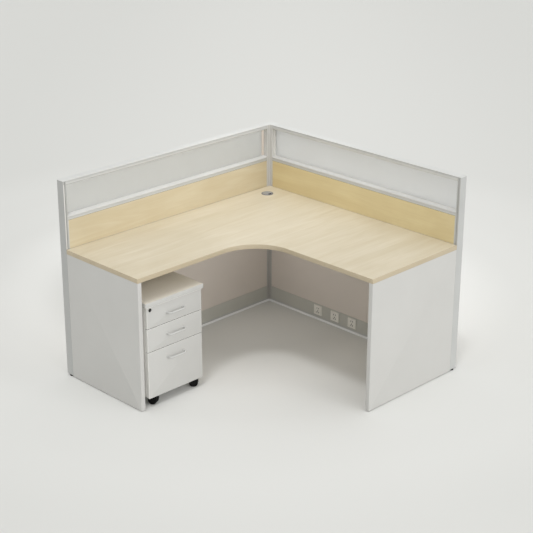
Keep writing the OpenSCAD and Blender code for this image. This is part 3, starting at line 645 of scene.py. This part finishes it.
def own_finish(run, name):
    """The named finish on the back run, and its pair for the return run, a paler copy: painted light for that
    run's shadier side.
    """
    return name if run == "back" else name + "_return"


def once(run, node):
    """The node that both runs' pieces stand in for, which the back run's piece alone names."""
    return (node,) if run == "back" else ()


def run_strip(run, face, start, end, low, high, depth, radius=0.4):
    """A thin strip on a run's face, from start to end along the run and low to high in height.

    face is inner or outer, and depth the strip's lower and upper distance behind that face.
    """
    axis, inner, outer, _, _ = RUNS[run]
    if face == "inner":
        near, far = inner + depth[0], inner + depth[1]
    else:
        near, far = outer - depth[1], outer - depth[0]
    if axis == "y":
        outline = rectangle((low, start), (high, end), radius)
    else:
        outline = rectangle((start, low), (end, high), radius)
    return slab(outline, near, far, min(radius, (far - near) / 2.5), axis)


def run_bar(run, section, start=STILE, end=STILE, radius=0.3, face="inner"):
    """A bar along a run, from its section of (distance behind the face, height).

    start and end are the bar's distances from the run's two ends. On the outer face the section is
    mirrored, which turns its order round.
    """
    axis, inner, _, begin, finish = RUNS[run]
    section = np.asarray(section, float)
    if face == "outer":
        section = section[::-1] * (-1, 1) + (RUN_THICK, 0)
    if axis == "y":
        outline, way = section + (inner, 0), "x"
    else:
        outline, way = section[::-1, ::-1] + (0, inner), "y"
    return slab(outline, begin + start, finish - end, radius, way)


def rails():
    """Top and glazing rails with a groove in each face, and a pale cover on the top rail."""
    low, high = heights("top_rails")
    under, over = high - TOP_GROOVE, high - SEAM
    near, far = TOP_GROOVE_DEEP, RUN_THICK - TOP_GROOVE_DEEP
    top = [(0, low), (RUN_THICK, low), (RUN_THICK, under), (far, under), (far, over), (near, over),
           (near, under), (0, under)]
    cover = rectangle((0, over), (RUN_THICK, high), 0.8)
    low, high = heights("mid_rails")
    under, over = high - GLAZING_GROOVE[0], high - GLAZING_GROOVE[1]
    near, far = GLAZING_GROOVE_DEEP, RUN_THICK - GLAZING_GROOVE_DEEP
    glazing = [(0, low), (RUN_THICK, low), (RUN_THICK, under), (far, under), (far, over),
               (RUN_THICK, over), (RUN_THICK, high), (0, high), (0, over), (near, over),
               (near, under), (0, under)]
    for run in RUNS:
        # The return run's rail finish is a paler copy: painted light
        finish = own_finish(run, "rail")
        make(f"{run}_top_rail_body", [run_bar(run, top)], "frame",
             instead_of=once(run, "top_rails"), finish=finish)
        make(f"{run}_top_rail_cover", [run_bar(run, cover)], "top_rail")
        make(f"{run}_glazing_rail", [run_bar(run, glazing)], "frame",
             instead_of=once(run, "mid_rails"), finish=finish)


def beads():
    """Sloped sills, and plain head and upright beads that hardly show beside the frosted glass. The beads' finish
    is darker on the back run and paler on the return than the sills': painted shade and light.
    """
    glass_foot, bead_foot = SILL_Z + SILL_AT_GLASS, SILL_Z + SILL_AT_BEAD
    under = BEAD_TOP - BEAD
    slope = [(1, SILL_Z), (GLASS_IN, SILL_Z), (GLASS_IN, glass_foot), (1, SILL_Z + SILL_FRONT)]
    head = [(BEAD_IN, under), (GLASS_IN, under), (GLASS_IN, BEAD_TOP), (BEAD_IN, BEAD_TOP)]
    upright = [(BEAD_IN, bead_foot), (GLASS_IN, glass_foot), (GLASS_IN, under), (BEAD_IN, under)]
    for run, (_, _, _, begin, finish) in RUNS.items():
        far = finish - begin - STILE - BEAD
        sills = [run_bar(run, slope, radius=0.4, face=face) for face in ("inner", "outer")]
        make(f"{run}_sills", sills, "bead", instead_of=once(run, "glazing_beads"))
        parts = []
        for face in ("inner", "outer"):
            parts.append(run_bar(run, head, face=face))
            parts.append(run_bar(run, upright, STILE, far, face=face))
            parts.append(run_bar(run, upright, far, STILE, face=face))
        make(f"{run}_head_beads", parts, "bead", finish=own_finish(run, "clear_bead"))


def corner_bounce():
    """A beige strip on the back pane, beside the corner stile and its bead: painted warm bounce light in the
    corner.
    """
    start, end = INNER_X - STILE - 3 * BEAD, INNER_X - STILE - BEAD
    strip = run_strip("back", "inner", start, end, SILL_Z + SILL_AT_GLASS, BEAD_TOP - BEAD,
                      (GLASS_IN - 1.4, GLASS_IN - 0.2))
    make("corner_bounce_strip", [strip], "bead", finish="painted_bounce")


def left_post_highlight():
    """A pale strip down the outer edge of the left post, above the worktop: a painted highlight on the post's lit
    face.
    """
    start, end = LEFT + POST_HIGHLIGHT[0], LEFT + POST_HIGHLIGHT[1]
    trim = run_strip("back", "inner", start, end, TOP_HIGH[2] + POST_HIGHLIGHT_FOOT, BEAD_TOP, TRIM_PROUD)
    make("left_post_highlight", [trim], "bead")


def tile_trims():
    """Narrow trims along the upright edges of each maple tile, and a dark strip along its top: a painted shadow
    line under the rail.
    """
    low, high = heights("back_maple_tile")
    for run, (_, _, _, begin, finish) in RUNS.items():
        start, end = begin + STILE + TRIM_GAP, finish - STILE - TRIM_GAP
        for face in ("inner", "outer"):
            parts = [run_strip(run, face, *edges, low, high + TRIM_TOP, (0.0, 1.0))
                     for edges in ((start, start + TRIM), (end - TRIM, end))]
            make(f"{run}_{face}_tile_trim", parts, "bead", finish="trim")
            # Dark strip at the tile's top: painted shadow line
            painted_shadow_line = run_strip(run, face, start, end, high + TILE_SHADOW_LINE[0], high + TILE_SHADOW_LINE[1],
                             (0.3, 1.0), 0.2)
            make(f"{run}_{face}_tile_top_shadow", [painted_shadow_line], "bead", finish="painted_shadow_line")


def stile_painted_shades():
    """A dark strip on each inner stile below the worktop: painted shade over the stile's paler finish."""
    low, high = corners("inner_stiles")[0][2] + 1.0, TOP_LOW[2] - 1.0
    parts = [run_strip("back", "inner", INNER_X - STILE, INNER_X - 0.2, low, high, SHADE_STRIP_PROUD),
             run_strip("return", "inner", INNER_Y - STILE, INNER_Y - 0.9, low, high, SHADE_STRIP_PROUD)]
    make("stile_painted_shades", parts, "frame", finish="stile_painted_shade")


def foot_highlight_strips():
    """A sloped strip along the foot of the inner raceway covers, the return's short of the back's. Its near-white
    finish is a painted highlight.
    """
    section = [(-8, 1.0), (-0.1, 1.0), (-0.1, 11.0), (-1.5, 11.0), (-8, 3.5)]
    parts = [run_bar(run, section, BOARD + FOOT_GAP, end, 0.2)
             for run, end in (("back", 0.0), ("return", FOOT_SHORT))]
    make("foot_highlight_strips", parts, "raceway", finish="foot_highlight_strip")


def gaskets():
    """Glazing gasket: a thin round cord along the pane's four edges, on both faces."""
    cord = circle((0, 0), CORD_R, 10)
    for run, (axis, _, _, _, _) in RUNS.items():
        low, high = corners(f"{run}_glass")
        u, v, w = PLANES[axis]
        first, last = low + CORD_LOW, high - CORD_HIGH
        outline = rectangle(first[[u, v]], last[[u, v]], 0.5, 3)
        normal = across(np.array([0.0, 0.0, 1.0]), axis)
        parts = []
        for level in (low[w] - CORD_OUT, high[w] + CORD_OUT):
            path = np.column_stack([outline, np.full(len(outline), level)])
            parts.append(carry(cord, across(path, axis), normal, closed=True))
        make(f"{run}_glass_gasket", parts, "bead", finish=own_finish(run, "clear_bead"))


def post_cap_plates():
    """Moulded caps on the posts, with eased edges."""
    base, top = heights("post_caps")
    left_end = rectangle((LEFT, INNER_Y), (LEFT + STILE, BACK), CAP_R)
    right_end = rectangle((INNER_X, FRONT), (RIGHT, FRONT + STILE), CAP_R)
    elbow = fillet([(INNER_X - STILE, INNER_Y), (INNER_X, INNER_Y), (INNER_X, INNER_Y - STILE),
                    (RIGHT, INNER_Y - STILE), (RIGHT, BACK), (INNER_X - STILE, BACK)],
                   [CAP_R, 1.0, CAP_R, CAP_R, CAP_R, CAP_R], 5)
    parts = [slab(outline, base, top, 0.9) for outline in (left_end, right_end, elbow)]
    make("post_cap_plates", parts, "top_rail", instead_of=("post_caps",))


# Outlets

OUTLETS = 3
PLATE_WIDE = 63.0
# Each slot's black mark, painted shade of its hole: how far along and above the plate's middle, and its turn in
# degrees
SLOT_SHADES = ((-7, 12, 0), (7, 12, 0), (-7, -14, 30), (7, -14, -30), (0, -5, 0))
# Plate: rows of (inset from its outline, distance behind the outlets' front)
PLATE_PROFILE = np.array([[4.8, 4.6], [4.8, 0.1], [4.4, -0.4], [3.0, -1.0], [0.6, -0.6],
                          [-0.2, 1.5], [-0.2, 4.6]])


def outlet_trim():
    """A soft frame, an inner pad's edge line, and a black mark at each slot of each outlet: painted shade of the
    holes.
    """
    low, high = corners("sockets")
    front = low[0]
    middle = (low + high) / 2
    reach = np.array([PLATE_WIDE, high[2] - low[2]]) / 2
    pitch = (high[1] - low[1] - PLATE_WIDE) / (OUTLETS - 1)
    blade = slab(rectangle((-1.7, -4.3), (1.7, 4.3), 0.4, 3), 0, 2, 0.2, "x")
    frames, pads, slot_shades = [], [], []
    for index in range(OUTLETS):
        centre = np.array([low[1] + PLATE_WIDE / 2 + index * pitch, middle[2]])
        outline = rectangle(centre - reach, centre + reach, 4.0)
        rings = stack(outline, PLATE_PROFILE + (0, front))
        frames.append(skin(across(rings, "x"), closed=True))
        pads.append(band(inset(outline, 6.0), front - 0.5, front + 0.2, 0.8, 0.2, "x"))
        for along, above, turn in SLOT_SHADES:
            spot = (front - 0.2, centre[0] + along, centre[1] + above)
            slot_shades.append(moved(rolled(blade, turn), spot))
    make("outlet_frames", frames, "socket")
    make("outlet_pad_edges", pads, "socket")
    # Black marks at the slots: painted shade of the holes
    make("outlet_slot_shades", slot_shades, "lock_plug")


# Grommet

# Radii: the worktop's hole less a clearance, the ring's upper bore and the bore for the cap
HOLE_R, RING_BORE, CAP_BORE = 29.9, 27.9, 25.4


def grommet():
    """A turned ring with a domed flange, a thin black ring in its bore that is painted shade inside the hole, and
    a rim round its cap.
    """
    low, high = corners("grommet_ring")
    centre = np.array([(low[0] + high[0]) / 2, (low[1] + high[1]) / 2, TOP_HIGH[2]])
    flange, foot = (high[0] - low[0]) / 2, low[2] - TOP_HIGH[2]
    profile = [(HOLE_R, foot), (HOLE_R, 0.0), (flange, 0.0), (flange, 0.8), (flange - 0.6, 1.7),
               (flange - 2.4, 2.6), (flange - 5.0, 3.0), (RING_BORE + 1.0, 3.0), (RING_BORE, 2.5),
               (RING_BORE, 0.45), (CAP_BORE, 0.45), (CAP_BORE, foot)]
    make("grommet_collar", [lathe(profile, centre, count=96, closed=True)], "grommet",
         instead_of=("grommet_ring",))
    # Thin black ring in the bore: painted shade inside the hole
    bore_shade = [(25.38, foot + 0.3), (25.38, 0.2), (25.1, 0.2), (25.1, foot + 0.3)]
    make("grommet_bore_shade", [lathe(bore_shade, centre, count=96, closed=True)], "grommet",
         finish="lock_plug")
    # The rim is a round wire that leaves the cap's cable mouth open
    angle = np.radians(np.linspace(-62, 242, 76))
    path = np.column_stack([centre[0] + 25.2 * np.cos(angle), centre[1] + 25.2 * np.sin(angle),
                            np.full(len(angle), centre[2] + 3.0)])
    rim = carry(circle((0, 0), 0.7, 10), path, (0, 0, 1))
    make("grommet_cap_rim", [rim], "grommet_cap", "grommet_cap")


# Pedestal hardware

# Handle: half the distance between its legs, its bends' radius, and how far its strap's middle
# stays behind its front
HANDLE_HALF, HANDLE_BEND, GRIP_IN = 56.0, 17.0, 2.2
# Wheel: how far its inner side is from the castor's middle, and rows of (radius, distance from
# that side)
WHEEL_STEP = 4.5
WHEEL_PROFILE = np.array([
    (0.3, 0.0), (22.5, 0.0), (24.0, 0.4), (24.8, 1.6), (25.0, 3.0), (25.0, 5.9), (24.6, 6.3),
    (24.6, 6.9), (25.0, 7.3), (25.0, 10.2), (24.7, 11.8), (23.6, 12.8), (22.0, 13.0),
    (19.5, 12.9), (19.0, 11.6), (12.5, 10.6), (9.6, 10.8), (9.2, 12.4), (7.6, 12.9), (0.3, 13.0)])
SPOKES = 5
# Runner screws: shares of the runner's length, and how far they sit from its outer side
RUNNER_SCREW_SHARES = (0.06, 0.35, 0.65, 0.94)
RUNNER_SCREW_IN = 11.2


def bow_path(reach):
    """The bow's path of (along, out): a short leg, an arc, the straight grip, and their mirror."""
    grip = reach - GRIP_IN
    turn = np.radians(np.linspace(0, 90, 12))
    leg = np.array([[-HANDLE_HALF, 0.0], [-HANDLE_HALF, (grip - HANDLE_BEND) * 0.5]])
    arc = np.column_stack([-HANDLE_HALF + HANDLE_BEND - HANDLE_BEND * np.cos(turn),
                           grip - HANDLE_BEND + HANDLE_BEND * np.sin(turn)])
    along = np.linspace(-HANDLE_HALF + HANDLE_BEND, HANDLE_HALF - HANDLE_BEND, 17)[1:-1]
    straight = np.column_stack([along, np.full(len(along), grip)])
    left = np.vstack([leg, arc])
    return np.vstack([left, straight, left[::-1] * (-1, 1)])


def bow_handle(number):
    """A flat strap carried along a bow, a darker lip under it that is painted shade, and a washer at each foot."""
    low, high = corners(f"drawer_{number}_handle")
    middle = (low + high) / 2
    face = high[1]
    bow = bow_path(face - low[1])
    path = np.column_stack([middle[0] + bow[:, 0], face - bow[:, 1], np.full(len(bow), middle[2])])
    strap = carry(rectangle((-2.1, -4.6), (2.1, 4.6), 1.7, 5), path, (0, 0, 1))
    lip = carry(rectangle((-2.2, -4.9), (2.2, -3.0), 0.6, 4), path, (0, 0, 1))
    washer = [(0.2, -3.0), (5.4, -3.0), (6.2, -2.2), (6.4, 0.0), (0.2, 0.0)]
    washers = [lathe(washer, (middle[0] + x, face, middle[2]), "y", 32)
               for x in (-HANDLE_HALF, HANDLE_HALF)]
    make(f"drawer_{number}_bow", [strap] + washers, "handle", f"drawer_{number}",
         (f"drawer_{number}_handle",))
    # Darker lip under the strap: painted shade below the grip
    make(f"drawer_{number}_bow_lip", [lip], "handle", f"drawer_{number}", finish="handle_shade")


def lock_face():
    """A turned rim round the lock's plug, with a domed front, and a black disc inside it."""
    low, high = corners("lock_barrel")
    centre = np.array([(low[0] + high[0]) / 2, 0.0, (low[2] + high[2]) / 2])
    front, back = low[1], high[1]
    profile = [(8.0, back), (5.7, back), (5.7, front + 0.3), (6.6, front - 0.25),
               (8.2, front - 0.15), (9.6, front + 0.5), (10.0, front + 1.4), (10.0, front + 2.0),
               (8.0, front + 2.0)]
    make("lock_rim", [lathe(profile, centre, "y", 64, closed=True)], "lock", "drawer_1",
         ("lock_barrel",))
    disc = [(5.9, front - 0.1), (5.9, front - 0.6), (6.6, front - 0.9), (9.1, front - 0.8),
            (9.6, front - 0.3), (9.6, front + 0.3)]
    make("lock_disc", [lathe(disc, centre, "y", 64, closed=True)], "lock_plug", "drawer_1")


def runner_screws():
    """Round screw heads along each drawer's runner bars."""
    head = lathe([(0.1, -1.2), (3.6, -1.2), (3.6, -0.6), (2.4, 0.0), (0.1, 0.2)], axis="x", count=16)
    for number in DRAWERS:
        low, high = corners(f"drawer_{number}_runners")
        level = (low[2] + high[2]) / 2
        heads = []
        for side, sign in ((low[0], 1), (high[0], -1)):
            for share in RUNNER_SCREW_SHARES:
                y = low[1] + share * (high[1] - low[1])
                heads.append(moved(faced(head, sign), (side + sign * RUNNER_SCREW_IN, y, level)))
        make(f"drawer_{number}_runner_screws", heads, "screw", f"drawer_{number}")


def castor_wheels():
    """Twin wheels: a tread with a shallow groove, a stepped face with ribs, and a raised hub cap."""
    turns = {joint["child"]: joint for joint in frame["joints"]}
    wheel = lathe(WHEEL_PROFILE + (0, WHEEL_STEP), axis="x", count=72)
    axle = lathe([(0.3, -WHEEL_STEP), (3.0, -WHEEL_STEP), (3.0, WHEEL_STEP), (0.3, WHEEL_STEP)],
                 axis="x", count=24)
    rib = slab(rectangle((9.0, -1.1), (19.3, 1.1), 0.5, 3), 10.2, 11.9, 0.3, "x")
    parts = [wheel, faced(wheel, -1), axle]
    for spoke in range(SPOKES):
        outer = moved(rolled(rib, 360 / SPOKES * spoke + 20), (WHEEL_STEP, 0, 0))
        parts += [faced(outer, sign) for sign in (1, -1)]
    for name in CASTORS:
        joint = turns[f"wheels_{name}"]
        centre = np.array(joint["pos_m"]) / MM
        angle = math.degrees(math.atan2(joint["axis"][1], joint["axis"][0]))
        pair = [turned(moved(part, centre), angle, centre) for part in parts]
        make(f"wheel_pair_{name}", pair, "wheel", f"wheels_{name}", (f"wheels_{name}",))


def castor_collars():
    """A plated collar and washer round each swivel pin, under its plate."""
    top = heights("castor_plates")[0]
    profile = [(8.2, top - 6.0), (9.6, top - 5.4), (9.9, top - 3.6), (9.9, top - 1.8),
               (9.0, top - 1.0), (7.9, top - 1.0)]
    for joint in frame["joints"]:
        if joint["name"].endswith("_swivel"):
            x, y, _ = np.array(joint["pos_m"]) / MM
            collar = lathe(profile, (x, y, 0), count=40, closed=True)
            make(joint["child"] + "_collar", [collar], "screw", joint["child"])


# Feet and fasteners

GLIDE_R = 8.0
GLIDE_IN = 50.0
# Angles under the worktop: their sheet, their screws' distance from the gable's face and from the
# angle's middle, and the middles as shares of each gable's length
SHEET = 2.0
SCREW_IN, SCREW_HALF = 18.0, 13.0
ANGLE_SHARES = (0.2, 0.8)
# Corner plate's screws, by their distances from the two partitions
PLATE_SCREWS = ((20.0, 20.0), (85.0, 20.0), (20.0, 85.0))


def levellers():
    """A turned pad, a hexagonal nut and a stud with ridges for each leveller."""
    for name in ("corner_leveller", "left_leveller", "right_leveller"):
        low, high = corners(name)
        centre = np.array([(low[0] + high[0]) / 2, (low[1] + high[1]) / 2, 0.0])
        radius = (high[0] - low[0]) / 2
        pad = [(0.3, 0.0), (radius - 0.6, 0.0), (radius, 0.6), (radius, 6.2), (radius - 0.7, 6.9),
               (0.3, 7.0)]
        nut = [(0.3, 7.0), (radius - 1.0, 7.0), (radius - 0.4, 7.5), (radius - 0.4, 9.1),
               (radius - 1.0, 9.6), (0.3, 9.6)]
        level = np.linspace(9.0, high[2], 57)
        ridge = 3.75 + 0.25 * np.cos(np.arange(len(level)) * math.pi)
        stud = np.column_stack([ridge, level])
        parts = [lathe(pad, centre), lathe(nut, centre, count=6), lathe(stud, centre, count=24)]
        make(name + "_turned", parts, "foot", name, (name,), 30)


def gable_feet():
    """Nail-in glides under the gables, each a low dome on a plate."""
    low, _ = corners("gable_glides")
    x, y = low[:2] + GLIDE_R
    places = [(x, WORK_Y + GLIDE_IN), (x, INNER_Y - GLIDE_IN),
              (WORK_X + GLIDE_IN, y), (INNER_X - GLIDE_IN, y)]
    profile = [(0.3, 0.0), (5.2, 0.0), (7.0, 0.7), (GLIDE_R, 2.0), (GLIDE_R, 3.2), (7.6, 4.0),
               (0.3, 4.0)]
    parts = [lathe(profile, (*spot, 0.0), count=32) for spot in places]
    make("gable_glide_domes", parts, "foot", instead_of=("gable_glides",))


def bracket_screw_heads():
    """Pan heads over the screws that drive upwards under the worktop, each with a black cross: painted shade of
    its cross recess.
    """
    level = heights("worktop_brackets")[1] - SHEET
    spots = []
    for share in ANGLE_SHARES:
        for side in (-SCREW_HALF, SCREW_HALF):
            y = WORK_Y + share * (INNER_Y - WORK_Y) + side
            x = WORK_X + share * (INNER_X - WORK_X) + side
            spots += [(LEFT + BOARD + SCREW_IN, y), (x, FRONT + BOARD + SCREW_IN)]
    spots += [(INNER_X - x, INNER_Y - y) for x, y in PLATE_SCREWS]
    profile = [(0.2, -2.3), (2.4, -2.2), (3.6, -1.6), (4.05, -0.7), (4.05, 0.0), (0.2, 0.0)]
    heads = [lathe(profile, (x, y, level), count=24) for x, y in spots]
    bar = slab(rectangle((-1.9, -0.35), (1.9, 0.35), 0.15, 3), -2.42, -2.1, 0.1)
    cross = slab(rectangle((-0.35, -1.9), (0.35, 1.9), 0.15, 3), -2.42, -2.1, 0.1)
    marks = [moved(part, (x, y, level)) for x, y in spots for part in (bar, cross)]
    make("bracket_screw_domes", heads, "screw")
    # Black crosses on the heads: painted shade of the recesses
    make("bracket_screw_recess_shades", marks, "foot")


# Floor, world, light and camera

# Half the floor's side, in metres
FLOOR_REACH = 60.0
# The floor goes from its near to its far grey along an oval, a painted pool of light round the object:
# the oval's middle and reach in metres, its turn in degrees and its stretch
FLOOR_NEAR, FLOOR_FAR = (0.705, 0.707, 0.688), (0.638, 0.641, 0.622)
OVAL_MIDDLE, OVAL_REACH, OVAL_TURN, OVAL_STRETCH = (-0.156, -0.648), 3.05, -45.0, (1.0, 7.19)
# It is paler in a ring, painted light that offsets the object's shadows on the floor round it: the ring's
# middle and reach in metres, and the added paleness by distance
RING_MIDDLE, RING_REACH = (0.761, 0.983), 3.0
PAINTED_LIGHT_RING = ((0.9, 0.0), (1.3, 0.148), (1.8, 0.053), (2.3, 0.035), (RING_REACH, 0.0))
# What the camera sees behind the floor, what lights the scene, and the share of that light
BACKDROP, SKY, AMBIENT = (0.74, 0.745, 0.725, 1), (1.0, 1.0, 0.985, 1), 0.80
# Each sun: name, where it stands from the object, strength in units of pi, and angle in degrees
SUNS = (
    ("key", (-0.30, -0.157, 0.941), 0.195, 9.0),
    ("front_fill", (0.10, -0.97, 0.22), 0.40, 50.0),
)
# Soft lamps: name, place, where it points, diameter, power in watts and spread in degrees
LAMPS = (
    ("knee_fill", (350.0, 385.0, 715.0), (380.0, 415.0, 0.0), 560.0, 0.92, 180.0),
    ("corner_fill", (420.0, 400.0, 2000.0), (420.0, 400.0, 0.0), 900.0, 0.8, 85.0),
)
# Camera: where it looks, its heading, height angle, roll and distance, and its focal length and the
# picture's width in pixels
LOOK_AT = (415.5, 385.7, 400.0)
HEADING, ELEVATION, ROLL = -45.09, 21.87, 0.14
DISTANCE = 8098.5
FOCAL_PIXELS, PICTURE_PIXELS = 1392.13, 533


def floor_reach(tree, middle, turn, stretch):
    """Distance from a middle on the floor, after a turn, with each axis divided by its stretch."""
    inputs = {"Vector": put(tree, "ShaderNodeTexCoord").outputs["Object"],
              "Location": (*middle, 0.0), "Rotation": (0.0, 0.0, math.radians(turn)),
              "Scale": (*stretch, 1.0)}
    flat = put(tree, "ShaderNodeMapping", inputs, vector_type="TEXTURE").outputs["Vector"]
    return put(tree, "ShaderNodeVectorMath", {0: flat}, operation="LENGTH").outputs["Value"]


def floor_painted_light():
    """Floor finish with painted light: a pale pool that darkens along an oval, and a paler ring round the object.
    """
    material, tree, shader = start_finish("floor_painted_light")
    oval = floor_reach(tree, OVAL_MIDDLE, OVAL_TURN, OVAL_STRETCH)
    away = put(tree, "ShaderNodeMapRange", {"Value": oval, "From Min": 0.0, "From Max": OVAL_REACH},
               interpolation_type="SMOOTHSTEP").outputs["Result"]
    shade = blend(tree, away, FLOOR_NEAR, FLOOR_FAR)
    ring = floor_reach(tree, RING_MIDDLE, 0.0, (RING_REACH, RING_REACH))
    ramp = put(tree, "ShaderNodeValToRGB", {"Fac": ring})
    ramp.color_ramp.interpolation = "EASE"
    while len(ramp.color_ramp.elements) < len(PAINTED_LIGHT_RING):
        ramp.color_ramp.elements.new(0.5)
    for element, (reach, extra) in zip(ramp.color_ramp.elements, PAINTED_LIGHT_RING):
        element.position = reach / RING_REACH
        element.color = (extra, extra, extra, 1)
    shade = blend(tree, 1.0, shade, ramp.outputs["Color"], "ADD")
    set_all(tree, shader, Base_Color=shade, Roughness=0.75, Specular_IOR_Level=0.15)
    return material


def studio_floor():
    """A pale floor out to the horizon."""
    mesh = bpy.data.meshes.new("floor")
    square = [(x * FLOOR_REACH, y * FLOOR_REACH, 0) for x, y in ((-1, -1), (1, -1), (1, 1), (-1, 1))]
    mesh.from_pydata(square, [], [(0, 1, 2, 3)])
    mesh.materials.append(floor_painted_light())
    floor = bpy.data.objects.new("floor", mesh)
    bpy.context.scene.collection.objects.link(floor)


def studio_world():
    """A pale world that the camera sees at full strength, directly, in a mirror or through glass."""
    world = bpy.data.worlds.new("studio")
    bpy.context.scene.world = world
    world.use_nodes = True
    tree = world.node_tree
    tree.nodes.clear()
    path = put(tree, "ShaderNodeLightPath")
    direct = put(tree, "ShaderNodeMath", {0: path.outputs["Is Camera Ray"],
                                          1: path.outputs["Is Glossy Ray"]}, operation="MAXIMUM")
    seen = put(tree, "ShaderNodeMath", {0: direct.outputs[0],
                                        1: path.outputs["Is Transmission Ray"]},
               operation="MAXIMUM")
    pale = put(tree, "ShaderNodeBackground", {"Color": BACKDROP, "Strength": 1.0})
    fill = put(tree, "ShaderNodeBackground", {"Color": SKY, "Strength": AMBIENT})
    mix = put(tree, "ShaderNodeMixShader", {0: seen.outputs[0], 1: fill.outputs[0],
                                            2: pale.outputs[0]})
    put(tree, "ShaderNodeOutputWorld", {"Surface": mix.outputs[0]})


def hold(name, data, rotation, spot=(0.0, 0.0, 0.0)):
    """The object that holds a light or camera, turned and placed."""
    holder = bpy.data.objects.new(name, data)
    holder.location = Vector(spot) * MM
    holder.rotation_mode = "QUATERNION"
    holder.rotation_quaternion = rotation
    bpy.context.scene.collection.objects.link(holder)
    return holder


def lights():
    """Soft suns, a steep key and a low fill on the front, and two soft lamps."""
    for name, stand, strength, angle in SUNS:
        lamp = bpy.data.lights.new(name, "SUN")
        lamp.energy = strength * math.pi
        lamp.angle = math.radians(angle)
        hold(name, lamp, Vector(stand).to_track_quat("Z", "Y"))
    for name, spot, target, wide, power, angle in LAMPS:
        lamp = bpy.data.lights.new(name, "AREA")
        lamp.shape = "DISK"
        lamp.size = wide * MM
        lamp.energy = power
        lamp.spread = math.radians(angle)
        holder = hold(name, lamp, (Vector(spot) - Vector(target)).to_track_quat("Z", "Y"), spot)
        holder.visible_camera = False
        holder.visible_glossy = False


def camera():
    """A camera that looks from the front left, from above."""
    data = bpy.data.cameras.new("camera")
    data.sensor_fit = "HORIZONTAL"
    data.sensor_width = 36.0
    data.lens = FOCAL_PIXELS / PICTURE_PIXELS * data.sensor_width
    data.clip_start, data.clip_end = 0.1, 200.0
    turn, rise = math.radians(HEADING), math.radians(ELEVATION)
    back = Vector((math.sin(turn) * math.cos(rise), -math.cos(turn) * math.cos(rise), math.sin(rise)))
    aim = (-back).to_track_quat("-Z", "Y") @ Quaternion((0, 0, 1), math.radians(ROLL))
    bpy.context.scene.camera = hold("camera", data, aim, Vector(LOOK_AT) + back * DISTANCE)


def build():
    """Dresses the nodes and adds every piece."""
    dress_nodes()
    edge_banding()
    boards()
    rails()
    beads()
    corner_bounce()
    left_post_highlight()
    tile_trims()
    stile_painted_shades()
    foot_highlight_strips()
    gaskets()
    post_cap_plates()
    outlet_trim()
    grommet()
    for number in DRAWERS:
        bow_handle(number)
    lock_face()
    runner_screws()
    castor_wheels()
    castor_collars()
    levellers()
    gable_feet()
    bracket_screw_heads()
    studio_floor()
    studio_world()
    lights()
    camera()


build()
bpy.context.scene.view_settings.view_transform = "Standard"
